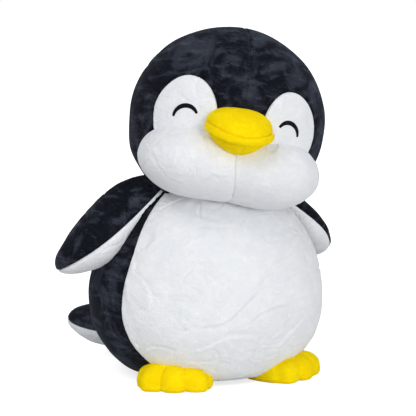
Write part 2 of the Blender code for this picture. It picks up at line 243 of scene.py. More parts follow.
@dataclass(frozen=True)
class Creases:
    """Thin sharp folds that stay in fabric which has been packed flat.

    Attributes:
        depth: of the fold.
        size: distance between folds.
        width: of a fold, as a share of size.
        stretch: scales the folds along X, Y and Z.
        cover: the share of the fabric that has them, 0 to 1.
        seed: picks another arrangement.
        bank: height of the fabric that is pushed up beside a fold, as a share of depth.
        bank_place: how many fold widths away it stands.
    """

    depth: float
    size: float
    width: float = 0.09
    stretch: tuple[float, float, float] = (1.0, 1.0, 1.0)
    cover: float = 0.6
    seed: float = 0.0
    bank: float = 0.55
    bank_place: float = 1.7

    def at(self, points: Points) -> np.ndarray:
        """The lift at each point.

        Args:
            points: one row for each point.

        Returns:
            The lift at each point.
        """
        laid = points * np.array(self.stretch)
        bend = noise_at(laid, self.size * 0.8, self.seed + 40)[:, None] * self.size * 0.35
        line = noise_at(laid + bend, self.size, self.seed) / self.width
        fold = self.bank * bell(line - self.bank_place) - bell(line)
        where = noise_at(points, self.size * 1.6, self.seed + 90)
        return self.depth * fold * eased((where + self.cover - 0.35) / 0.35)


@dataclass(frozen=True)
class Hem:
    """How a panel turns in at its seam.

    Attributes:
        depth: of the seam below the fabric.
        roll: width of the rounded edge.
        pucker: height of the gathers that the thread pulls.
        pitch: distance between gathers.
        reach: how far the gathers run into the panel.
    """

    depth: float = 0.0034
    roll: float = 0.0050
    pucker: float = 0.00045
    pitch: float = 0.0105
    reach: float = 0.011

    def at(self, far: np.ndarray, along: np.ndarray) -> np.ndarray:
        """The lift this far from the seam.

        Args:
            far: distance from the seam.
            along: distance along the seam.

        Returns:
            The lift at each point.
        """
        inside = np.clip(far / self.roll, 0.0, 1.0)
        wave = along / self.pitch * 2 * math.pi
        gather = np.sin(wave + 1.6 * np.sin(wave / 3.7) + 1.1 * np.sin(wave / 7.3))
        fading = inside * np.exp(-far / self.reach)
        return self.depth * rolled(far, self.roll) + self.pucker * gather * fading


# Finishes


class ShaderKit:
    """The shader node groups that the finishes share, each built once."""

    @staticmethod
    def fill(node: bpy.types.Node, **values: object) -> bpy.types.Node:
        """A node with its inputs set, by socket name with _ for a space.

        Args:
            node: the node.
            values: inputs, by socket name with _ for a space.

        Returns:
            The same node.
        """
        for key, value in values.items():
            node.inputs[key.replace("_", " ")].default_value = value
        return node

    @classmethod
    def add(cls, tree: bpy.types.NodeTree, kind: str, **values: object) -> bpy.types.Node:
        """A node with its properties and its inputs set.

        Args:
            tree: where the node goes.
            kind: the node's class.
            values: property values in lower case, and inputs as fill takes them.

        Returns:
            The node.
        """
        node = tree.nodes.new(kind)
        for key in [key for key in values if key[0].islower()]:
            setattr(node, key, values.pop(key))
        return cls.fill(node, **values)

    @classmethod
    def place(
        cls, tree: bpy.types.NodeTree, group: bpy.types.NodeTree, **values: object
    ) -> bpy.types.Node:
        """A group set into a material, with its own values."""
        return cls.add(tree, "ShaderNodeGroup", node_tree=group, **values)

    @classmethod
    def material(cls, name: str, **values: object) -> tuple[bpy.types.Material, bpy.types.Node]:
        """A new material and its Principled shader, with the shader's inputs set.

        Args:
            name: of the material.
            values: inputs, by socket name with _ for a space.

        Returns:
            The material and its shader.
        """
        made = bpy.data.materials.new(name)
        made.use_nodes = True
        return made, cls.fill(made.node_tree.nodes["Principled BSDF"], **values)

    @classmethod
    def math(
        cls, tree: bpy.types.NodeTree, operation: str, first: object, second: object = 0.0
    ) -> bpy.types.NodeSocket:
        """A Math node's output. Each input is a socket to link or a number.

        Args:
            tree: where the node goes.
            operation: what it works out.
            first: the first input.
            second: the second input.

        Returns:
            The output.
        """
        node = cls.add(tree, "ShaderNodeMath", operation=operation)
        for index, value in enumerate((first, second)):
            if isinstance(value, bpy.types.NodeSocket):
                tree.links.new(value, node.inputs[index])
            else:
                node.inputs[index].default_value = value
        return node.outputs[0]

    @classmethod
    def shared(
        cls,
        tree: bpy.types.NodeTree,
        first: bpy.types.NodeSocket,
        share: float,
        second: bpy.types.NodeSocket,
    ) -> bpy.types.NodeSocket:
        """This share of the first value and the rest of the second.

        Args:
            tree: where the node goes.
            first: the first value.
            share: its share.
            second: the second value.

        Returns:
            The output.
        """
        part = cls.math(tree, "MULTIPLY", first, share)
        return cls.math(tree, "ADD", part, cls.math(tree, "MULTIPLY", second, 1 - share))

    @classmethod
    def spread(
        cls,
        tree: bpy.types.NodeTree,
        value: bpy.types.NodeSocket,
        low: float,
        high: float,
        to_low: float = 0.0,
        to_high: float = 1.0,
    ) -> bpy.types.NodeSocket:
        """A Map Range node's output, with smooth ends.

        Args:
            tree: where the node goes.
            value: what is mapped.
            low: the value that gives to_low.
            high: the value that gives to_high.
            to_low: the lowest result.
            to_high: the highest result.

        Returns:
            The output.
        """
        node = cls.add(tree, "ShaderNodeMapRange", interpolation_type="SMOOTHSTEP")
        tree.links.new(value, node.inputs["Value"])
        for name, number in zip(
            ("From Min", "From Max", "To Min", "To Max"), (low, high, to_low, to_high)
        ):
            node.inputs[name].default_value = number
        return node.outputs["Result"]

    @classmethod
    def grain(
        cls,
        tree: bpy.types.NodeTree,
        place: bpy.types.NodeSocket,
        size: object,
        detail: float = 2.0,
        roughness: float = 0.5,
        distortion: float = 0.0,
    ) -> bpy.types.NodeSocket:
        """A Noise node's value, with patches of this size in metres.

        Args:
            tree: where the node goes.
            place: where on the fabric.
            size: across one patch, as a number or a socket.
            detail: how many finer layers it has.
            roughness: how strong those are.
            distortion: how far the patches are bent.

        Returns:
            The output.
        """
        node = cls.add(
            tree, "ShaderNodeTexNoise", Detail=detail, Roughness=roughness, Distortion=distortion
        )
        tree.links.new(place, node.inputs["Vector"])
        if isinstance(size, bpy.types.NodeSocket):
            tree.links.new(cls.math(tree, "DIVIDE", 1.0, size), node.inputs["Scale"])
        else:
            node.inputs["Scale"].default_value = 1.0 / size
        return node.outputs[0]

    def _start(
        self, name: str, takes: dict[str, tuple[str, object]], gives: dict[str, str]
    ) -> tuple[bpy.types.NodeTree, bpy.types.Node, bpy.types.Node, bpy.types.NodeSocket]:
        """An empty group with its sockets and a place to read the fabric's own coordinates.

        Args:
            name: of the group.
            takes: its inputs: kind and starting value by name.
            gives: its outputs: kind by name.

        Returns:
            The group, its two end nodes and the coordinates.
        """
        tree = bpy.data.node_groups.new(name, "ShaderNodeTree")
        for key, (kind, value) in takes.items():
            socket = tree.interface.new_socket(key, in_out="INPUT", socket_type=kind)
            socket.default_value = value
        for key, kind in gives.items():
            tree.interface.new_socket(key, in_out="OUTPUT", socket_type=kind)
        entry = self.add(tree, "NodeGroupInput")
        leave = self.add(tree, "NodeGroupOutput")
        place = self.add(tree, "ShaderNodeTexCoord").outputs["Object"]
        return tree, entry, leave, place

    @cached_property
    def mottle(self) -> bpy.types.NodeTree:
        """Pile brushed in patches, some lying away from the light and some towards it.

        Returns:
            The group, which mixes its two colours.
        """
        tree, entry, leave, place = self._start(
            "pile_mottle",
            {
                "Dark": ("NodeSocketColor", (0.01, 0.01, 0.01, 1.0)),
                "Light": ("NodeSocketColor", (0.05, 0.05, 0.05, 1.0)),
                "Patch Size": ("NodeSocketFloat", 0.04),
                "Amount": ("NodeSocketFloat", 1.0),
                "Speckle": ("NodeSocketFloat", 0.2),
            },
            {"Color": "NodeSocketColor"},
        )
        size = entry.outputs["Patch Size"]
        patches = self.spread(tree, self.grain(tree, place, size, 3.0, 0.62, 0.9), 0.44, 0.66)
        turned = self.add(
            tree, "ShaderNodeMapping", Rotation=(0.5, 0.3, 0.9), Scale=(1.0, 0.45, 2.2)
        )
        tree.links.new(place, turned.inputs["Vector"])
        narrow = self.math(tree, "MULTIPLY", size, 0.42)
        brushed = self.grain(tree, turned.outputs[0], narrow, 3.0, 0.6, 0.5)
        lit = self.shared(tree, patches, 0.55, self.spread(tree, brushed, 0.48, 0.70))
        tufts = self.math(tree, "SUBTRACT", self.grain(tree, place, 0.0034, 2.0, 0.6), 0.5)
        share = self.add(tree, "ShaderNodeMath", operation="ADD", use_clamp=True)
        mix = self.add(tree, "ShaderNodeMix", data_type="RGBA")
        for source, target in (
            (self.math(tree, "MULTIPLY", lit, entry.outputs["Amount"]), share.inputs[0]),
            (self.math(tree, "MULTIPLY", tufts, entry.outputs["Speckle"]), share.inputs[1]),
            (share.outputs[0], mix.inputs["Factor"]),
            (entry.outputs["Dark"], mix.inputs[6]),
            (entry.outputs["Light"], mix.inputs[7]),
            (mix.outputs[2], leave.inputs["Color"]),
        ):
            tree.links.new(source, target)
        return tree

    @cached_property
    def nap(self) -> bpy.types.NodeTree:
        """Short pile that stands in little tufts.

        Returns:
            The group, which gives a height and a shade.
        """
        tree, entry, leave, place = self._start(
            "short_nap",
            {"Tuft Size": ("NodeSocketFloat", 0.0022)},
            {"Height": "NodeSocketFloat", "Shade": "NodeSocketFloat"},
        )
        size = entry.outputs["Tuft Size"]
        fine = self.grain(tree, place, size, 2.0, 0.65, 0.3)
        coarse = self.grain(tree, place, self.math(tree, "MULTIPLY", size, 3.1), 2.0, 0.55, 0.6)
        tree.links.new(self.shared(tree, fine, 0.6, coarse), leave.inputs["Height"])
        tree.links.new(self.spread(tree, coarse, 0.3, 0.7), leave.inputs["Shade"])
        return tree

    @cached_property
    def crumple(self) -> bpy.types.NodeTree:
        """Fine crease lines that cross each other, as in fabric that was packed.

        Returns:
            The group, which gives a height.
        """
        tree, entry, leave, place = self._start(
            "crumple_lines",
            {"Crease Size": ("NodeSocketFloat", 0.02), "Depth": ("NodeSocketFloat", 1.0)},
            {"Height": "NodeSocketFloat"},
        )
        heights = []
        for share, shift in ((1.0, (0.0, 0.0, 0.0)), (0.55, (3.1, 1.7, 5.3))):
            laid = self.add(tree, "ShaderNodeMapping", Location=shift)
            tree.links.new(place, laid.inputs["Vector"])
            size = self.math(tree, "MULTIPLY", entry.outputs["Crease Size"], share)
            wave = self.grain(tree, laid.outputs[0], size, 1.5, 0.5, 1.1)
            apart = self.math(tree, "ABSOLUTE", self.math(tree, "SUBTRACT", wave, 0.5))
            heights.append(self.spread(tree, apart, 0.0, 0.055))
        both = self.math(tree, "MULTIPLY", *heights)
        height = self.math(tree, "MULTIPLY", both, entry.outputs["Depth"])
        tree.links.new(height, leave.inputs["Height"])
        return tree


@dataclass(frozen=True)
class Finish:
    """Short-pile plush or thread in one colour.

    Attributes:
        name: of the material.
        slot: name of a material slot; not used.
        dark: colour where the pile lies away.
        light: colour where the pile stands up.
        patch_size: across one brushed patch.
        amount: how much of the light colour shows.
        speckle: how far single tufts vary.
        roughness: of the pile, where it is smoothest and where it is roughest.
        sheen: how much the pile's tips catch the light.
        sheen_roughness: how widely they do.
        sheen_tint: the colour of that light.
        tuft: across one tuft or strand.
        nap_depth: of the tufts, in metres.
        bump: how strongly the nap shows.
        crease_size: distance between fine creases.
        crease_depth: their share of the relief.
        gloss: how much plain light the pile mirrors.
    """

    name: str
    slot: str
    dark: Colour
    light: Colour
    patch_size: float
    amount: float = 1.0
    speckle: float = 0.30
    roughness: tuple[float, float] = (0.84, 0.99)
    sheen: float = 0.0
    sheen_roughness: float = 0.5
    sheen_tint: Colour = (1.0, 1.0, 1.0)
    tuft: float = 0.0022
    nap_depth: float = 0.0010
    bump: float = 1.0
    crease_size: float = 0.026
    crease_depth: float = 0.0
    gloss: float = 0.06

    def material(self, kit: ShaderKit) -> bpy.types.Material:
        """Builds the material.

        Args:
            kit: gives the shared node groups.

        Returns:
            The material.
        """
        made, shader = kit.material(
            self.name, Sheen_Weight=self.sheen, Sheen_Roughness=self.sheen_roughness,
            Sheen_Tint=(*self.sheen_tint, 1.0), Specular_IOR_Level=self.gloss,
        )
        tree = made.node_tree
        mottle = kit.place(
            tree, kit.mottle, Dark=(*self.dark, 1.0), Light=(*self.light, 1.0),
            Patch_Size=self.patch_size, Amount=self.amount, Speckle=self.speckle,
        )
        nap = kit.place(tree, kit.nap, Tuft_Size=self.tuft)
        height = nap.outputs["Height"]
        if self.crease_depth > 0:
            lines = kit.place(
                tree, kit.crumple, Crease_Size=self.crease_size, Depth=self.crease_depth
            )
            height = kit.math(tree, "ADD", height, lines.outputs["Height"])
        rough = kit.spread(tree, nap.outputs["Shade"], 0.0, 1.0, *self.roughness)
        bump = kit.add(tree, "ShaderNodeBump", Strength=self.bump, Distance=self.nap_depth)
        for source, target in (
            (mottle.outputs["Color"], shader.inputs["Base Color"]),
            (rough, shader.inputs["Roughness"]),
            (height, bump.inputs["Height"]),
            (bump.outputs["Normal"], shader.inputs["Normal"]),
        ):
            tree.links.new(source, target)
        return made


def black_thread(name: str, dark: Colour, light: Colour, strand: float) -> Finish:
    """Embroidery or sewing thread with a slight shine, in strands of this width.

    Args:
        name: of the material.
        dark: colour between strands.
        light: colour on top of a strand.
        strand: across one strand.

    Returns:
        The finish.
    """
    return Finish(
        name, "black_thread", dark, light,
        patch_size=strand * 4, amount=0.6, speckle=0.5, roughness=(0.45, 0.70),
        sheen=0.02, tuft=strand, nap_depth=strand * 0.4, bump=0.6, gloss=0.12,
    )


BLACK_PLUSH = Finish(
    "black_short_pile", "black_plush",
    dark=(0.0050, 0.0064, 0.0105), light=(0.0560, 0.0640, 0.0870),
    patch_size=0.046, speckle=0.35, roughness=(0.80, 0.95),
    sheen=0.07, sheen_roughness=0.34, sheen_tint=(0.62, 0.72, 1.0), tuft=0.0024,
)
WHITE_PLUSH = Finish(
    "white_short_pile", "white_plush",
    dark=(0.800, 0.818, 0.845), light=(0.868, 0.878, 0.892),
    patch_size=0.030, sheen=0.05, sheen_roughness=0.6,
    nap_depth=0.00080, crease_depth=0.34,
)
YELLOW_PLUSH = Finish(
    "yellow_short_pile", "yellow_plush",
    dark=(0.945, 0.675, 0.0010), light=(0.995, 0.795, 0.0030),
    patch_size=0.020, speckle=0.45, tuft=0.0018, nap_depth=0.0006,
)
EYE_THREAD = black_thread(
    "eye_embroidery_thread", (0.0008, 0.001, 0.002), (0.003, 0.004, 0.006), 0.0007
)
SEAM_THREAD = black_thread("seam_thread", (0.045, 0.055, 0.080), (0.110, 0.130, 0.175), 0.0005)


# Workshop


def linked(name: str, bm: bmesh.types.BMesh) -> bpy.types.Object:
    """A finished mesh as an object in the scene.

    Args:
        name: of the mesh and of the object.
        bm: the mesh, which is freed.

    Returns:
        The object.
    """
    mesh = bpy.data.meshes.new(name)
    bm.to_mesh(mesh)
    bm.free()
    made = bpy.data.objects.new(name, mesh)
    bpy.context.scene.collection.objects.link(made)
    return made


@dataclass
class Workshop:
    """Makes pieces, dresses them and keeps one material for each finish.

    Attributes:
        kit: the shader groups.
        materials: those made so far, by name.
        pieces: those made so far.
    """

    kit: ShaderKit = field(default_factory=ShaderKit)
    materials: dict[str, bpy.types.Material] = field(default_factory=dict)
    pieces: list[bpy.types.Object] = field(default_factory=list)

    def dress(self, piece: bpy.types.Object, finish: Finish) -> None:
        """Gives a piece its finish.

        Args:
            piece: what is dressed.
            finish: of the piece.
        """
        if finish.name not in self.materials:
            self.materials[finish.name] = finish.material(self.kit)
        piece.data.materials.clear()
        piece.data.materials.append(self.materials[finish.name])

    def piece(self, name: str, bm: bmesh.types.BMesh, finish: Finish) -> bpy.types.Object:
        """Links a finished mesh as one smooth, dressed object.

        Args:
            name: of the piece.
            bm: its mesh.
            finish: of the piece.

        Returns:
            The piece.
        """
        made = linked(name, bm)
        mesh = made.data
        mesh.polygons.foreach_set("use_smooth", np.ones(len(mesh.polygons), dtype=bool))
        self.dress(made, finish)
        self.pieces.append(made)
        LOG.info("%s: %d points, %d faces", name, len(mesh.vertices), len(mesh.polygons))
        return made


def grid_mesh(points: Points, columns: int, rows: int, outward: Points) -> bmesh.types.BMesh:
    """A mesh over a grid of points.

    Args:
        points: one row for each grid point, bottom row first.
        columns: squares across.
        rows: squares up.
        outward: the normals that the faces should roughly share.

    Returns:
        The mesh, with doubled points joined.
    """
    across = columns + 1
    index = np.arange(across * (rows + 1)).reshape(rows + 1, across)
    faces = np.stack(
        (index[:-1, :-1], index[:-1, 1:], index[1:, 1:], index[1:, :-1]), axis=-1
    ).reshape(-1, 4)
    a, b = points[faces[:, 2]] - points[faces[:, 0]], points[faces[:, 3]] - points[faces[:, 1]]
    if (np.cross(a, b) * outward[faces[:, 0]]).sum() < 0:
        faces = faces[:, ::-1]
    mesh = bpy.data.meshes.new("grid")
    mesh.from_pydata(points.tolist(), [], faces.tolist())
    bm = bmesh.new()
    bm.from_mesh(mesh)
    bpy.data.meshes.remove(mesh)
    bmesh.ops.remove_doubles(bm, verts=bm.verts[:], dist=1e-5)
    bmesh.ops.dissolve_degenerate(bm, dist=1e-6, edges=bm.edges[:])
    return bm


def seam_reach(
    points: Points, columns: int, rows: int, seams: Sequence[Border]
) -> tuple[np.ndarray, np.ndarray]:
    """How far each grid point is from the panel's seams, and where along them.

    Args:
        points: one row for each grid point.
        columns: squares across.
        rows: squares up.
        seams: the borders that are sewn.

    Returns:
        The distances, and the lengths along the seam.
    """
    net = points.reshape(rows + 1, columns + 1, 3)
    borders = {
        Border.BOTTOM: net[0],
        Border.END: net[:, -1],
        Border.TOP: net[-1, ::-1],
        Border.START: net[::-1, 0],
    }
    chain = np.concatenate([borders[b] for b in Border if b in seams])
    along = np.concatenate(([0.0], np.cumsum(np.linalg.norm(np.diff(chain, axis=0), axis=1))))
    tree = kdtree.KDTree(len(chain))
    for i, row in enumerate(chain.tolist()):
        tree.insert(row, i)
    tree.balance()
    found = [tree.find(row)[1:] for row in points.tolist()]
    return np.array([f[1] for f in found]), along[np.array([f[0] for f in found])]


@dataclass
class Panel:
    """One sewn panel of fabric laid on a stuffed shape.

    Attributes:
        name: of the piece.
        shape: maps directions to points.
        spot: maps the square to directions.
        columns: squares across.
        rows: squares up.
        finish: of the fabric.
        hem: how its edges turn in.
        seams: the borders that are sewn.
        relief: lumps and creases.
        extra: another lift, from points.
        settle: rests the fabric on what it touches.
        calm: distance from a seam at which the relief reaches its full height.
    """

    name: str
    shape: Shape
    spot: Spot
    columns: int
    rows: int
    finish: Finish
    hem: Hem = Hem()
    seams: Sequence[Border] = ALL_ROUND
    relief: Sequence[Lumps | Creases] = ()
    extra: Optional[Callable[[Points], np.ndarray]] = None
    settle: Optional[Settle] = None
    calm: float = 0.006

    def sew(self, shop: Workshop) -> bpy.types.Object:
        """Builds the panel.

        Args:
            shop: dresses and keeps the piece.

        Returns:
            The piece.
        """
        directions = unit(self.spot(*square(self.columns, self.rows)))
        flat = self.shape(directions)
        outward = normals_of(self.shape, directions)
        far, along = seam_reach(flat, self.columns, self.rows, self.seams)
        lift = self.hem.at(far, along)
        calm = eased(far / self.calm)
        for part in self.relief:
            lift = lift + part.at(flat) * calm
        if self.extra is not None:
            lift = lift + self.extra(flat)
        points = flat + outward * lift[:, None]
        if self.settle is not None:
            points = self.settle(points)
        mesh = grid_mesh(points, self.columns, self.rows, outward)
        return shop.piece(self.name, mesh, self.finish)


@dataclass
class Stitches:
    """A row of short stitches across a seam.

    Attributes:
        name: of the piece.
        finish: of the thread.
        length: of one stitch.
        thickness: of the thread.
        sides: of the thread's section.
        rings: of points along one stitch.
        stand: how many thicknesses its middle stands off the fabric.
        dip: how many its ends lie below the middle.
        taper: how much thinner the ends are, as a share.
    """

    name: str
    finish: Finish
    length: float = 0.0026
    thickness: float = 0.00042
    sides: int = 6
    rings: int = 7
    stand: float = 1.3
    dip: float = 2.4
    taper: float = 0.35

    def sew(
        self, shop: Workshop, middles: Points, across: Points, outward: Points
    ) -> bpy.types.Object:
        """Builds the stitches as short arched tubes.

        Args:
            shop: dresses and keeps the piece.
            middles: the middle of each stitch.
            across: its direction.
            outward: the fabric's normal there.

        Returns:
            The piece.
        """
        bm = bmesh.new()
        steps = np.linspace(-1, 1, self.rings)
        turns = np.linspace(0, 2 * math.pi, self.sides, endpoint=False)
        for middle, way, out in zip(middles, unit(across), unit(outward)):
            rings = []
            lengthways = np.cross(way, out)
            for t in steps:
                high = self.thickness * (self.stand - self.dip * t * t)
                centre = middle + way * t * self.length / 2 + out * high
                size = self.thickness * (1 - self.taper * t * t)
                spokes = [out * math.cos(a) + lengthways * math.sin(a) for a in turns]
                rings.append([bm.verts.new(centre + spoke * size) for spoke in spokes])
            for first, second in zip(rings, rings[1:]):
                for k in range(self.sides):
                    n = (k + 1) % self.sides
                    bm.faces.new((first[k], first[n], second[n], second[k]))
            bm.faces.new(rings[0][::-1])
            bm.faces.new(rings[-1])
        bmesh.ops.recalc_face_normals(bm, faces=bm.faces[:])
        return shop.piece(self.name, bm, self.finish)


# The penguin


@dataclass
class Torso:
    """The egg-shaped body: a white belly, two black back panels and a base.

    Attributes:
        radius: at the widest.
        widest: height of the widest ring.
        top: height of the top under the head.
        below: lower half height before the base cuts it.
        belly_heights: heights at which the belly's half angle is given.
        belly_angles: the belly's half angle there, in degrees.
        belly_easing: how far up and down those angles are averaged.
        crown_latitude: where the covers end under the neck, in degrees.
        edge_lift: how far the lower edge is rounded up off the floor.
        edge_fade: height over which that fades.
        floor_gap: between the lowest fabric and the floor.
    """

    radius: float = 0.151
    widest: float = 0.0945
    top: float = 0.2625
    below: float = 0.120
    belly_heights: tuple[float, ...] = (0.0, 0.029, 0.045, 0.085, 0.12, 0.165, 0.21)
    belly_angles: tuple[float, ...] = (50.0, 59.5, 66.0, 71.0, 71.0, 68.5, 69.0)
    belly_easing: float = 0.014
    crown_latitude: float = 82.0
    edge_lift: float = 0.0055
    edge_fade: float = 0.008
    floor_gap: float = 0.0006

    def shape(self, d: Points) -> Points:
        """The torso's surface.

        Args:
            d: unit directions, one row each.

        Returns:
            The points, one row each.
        """
        rise = np.where(d[:, 2] > 0, self.top - self.widest, self.below)
        return np.stack(
            (self.radius * d[:, 0], self.radius * d[:, 1], self.widest + rise * d[:, 2]), axis=1
        )

    @property
    def base_latitude(self) -> float:
        """The latitude at which the body meets the floor."""
        return -math.asin(self.widest / self.below)

    @property
    def base_radius(self) -> float:
        """The radius of the flat base."""
        return self.radius * math.cos(self.base_latitude)

    def belly_edge(self, latitude: np.ndarray) -> np.ndarray:
        """Half the angle that the belly takes at a latitude.

        Args:
            latitude: in radians.

        Returns:
            The angles, in radians.
        """
        rise = np.where(latitude > 0, self.top - self.widest, self.below)
        height = self.widest + rise * np.sin(latitude)
        near = [
            np.interp(height + shift, self.belly_heights, self.belly_angles)
            for shift in np.linspace(-self.belly_easing, self.belly_easing, 9)
        ]
        return np.radians(np.mean(near, axis=0))

    def spot(self, first: Callable, last: Callable) -> Spot:
        """A map from the square to the torso between two azimuth limits.

        Args:
            first: gives the first azimuth at a latitude.
            last: gives the last one.

        Returns:
            The map.
        """
        low, high = self.base_latitude + 0.004, math.radians(self.crown_latitude)

        def place(u: np.ndarray, v: np.ndarray) -> Points:
            """Directions between the two limits."""
            climb = (v + 1) / 2
            latitude = low + climb * (high - low)
            a, b = first(latitude), last(latitude)
            return bearing(a + (u + 1) / 2 * (b - a), latitude)

        return place

    def rest_on(self, points: Points, gap: float) -> Points:
        """Moves points that would be inside the torso out to lie on it, this clear of it.

        Args:
            points: one row for each point.
            gap: left between them and the torso.

        Returns:
            The points, one row each.
        """
        middle = np.array((0.0, 0.0, self.widest))
        away = points - middle
        high = np.where(away[:, 2] > 0, self.top - self.widest, self.below) + gap
        level = (away[:, 0] ** 2 + away[:, 1] ** 2) / (self.radius + gap) ** 2
        span = np.sqrt(level + (away[:, 2] / high) ** 2)
        push = 1 / np.clip(span, 0.05, 1.0)
        return middle + away * push[:, None]

    def hold(self, points: Points) -> Points:
        """Keeps the body above the floor, with its lower edge rounded up off it.

        Args:
            points: one row for each point.

        Returns:
            The points, one row each.
        """
        height = np.maximum(points[:, 2], self.floor_gap)
        points[:, 2] = height + self.edge_lift * np.exp(-height / self.edge_fade)
        return points

    def build(self, shop: Workshop) -> None:
        """Sews the body's covers.

        Args:
            shop: makes and dresses the pieces.
        """
        fold = (
            Lumps(0.0016, 0.075, 3.0),
            Lumps(0.0007, 0.028, 9.0),
            Creases(0.00120, 0.085, 0.030, (0.60, 0.60, 1.30), 0.66, 12.0),
            Creases(0.00120, 0.046, 0.045, (0.70, 0.70, 1.25), 0.58, 21.0),
            Creases(0.00095, 0.024, 0.090, (0.8, 0.8, 1.2), 0.55, 33.0),
        )
        belly = Panel(
            "belly_cover", self.shape,
            self.spot(lambda t: -self.belly_edge(t), lambda t: self.belly_edge(t)),
            200, 180, WHITE_PLUSH, Hem(0.0030, 0.0052, 0.0005, 0.011, 0.012),
            SIDES_ONLY, fold, settle=self.hold,
        ).sew(shop)
        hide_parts("belly_panel", "body_filling")
        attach(belly, "torso")
        black = (
            Lumps(0.0020, 0.080, 5.0),
            Lumps(0.0009, 0.030, 15.0),
            Creases(0.0012, 0.055, 0.07, (0.7, 0.7, 0.9), 0.45, 25.0),
        )
        spans = {
            Hand.LEFT: (self.belly_edge, lambda t: t * 0 + math.pi),
            Hand.RIGHT: (lambda t: t * 0 - math.pi, lambda t: -self.belly_edge(t)),
        }
        for hand, (first, last) in spans.items():
            back = Panel(
                f"back_cover_{hand.word}", self.shape, self.spot(first, last),
                120, 150, BLACK_PLUSH, Hem(0.0030, 0.0050, 0.0005, 0.011, 0.012),
                SIDES_ONLY, black, settle=self.hold,
            ).sew(shop)
            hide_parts(f"body_back_{hand.word}")
            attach(back, "torso")
        self._base(shop)

    def _base(self, shop: Workshop) -> None:
        """Sews the flat round base.

        Args:
            shop: makes and dresses the pieces.
        """
        radius = self.base_radius - 0.004

        def shape(d: Points) -> Points:
            """A flat disc whose rim turns up."""
            far = np.hypot(d[:, 0], d[:, 1])
            rise = 0.0005 + self.edge_lift * eased((far - 0.50) / 0.50)
            return np.stack((radius * d[:, 0], radius * d[:, 1], rise), axis=1)

        base = Panel(
            "base_cover", shape, cap((0.0, 0.0, -1.0), math.pi / 2), 70, 70, BLACK_PLUSH,
            Hem(0.0, 0.004, 0.0), settle=above(0.0003),
        ).sew(shop)
        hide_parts("base_panel")
        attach(base, "torso")


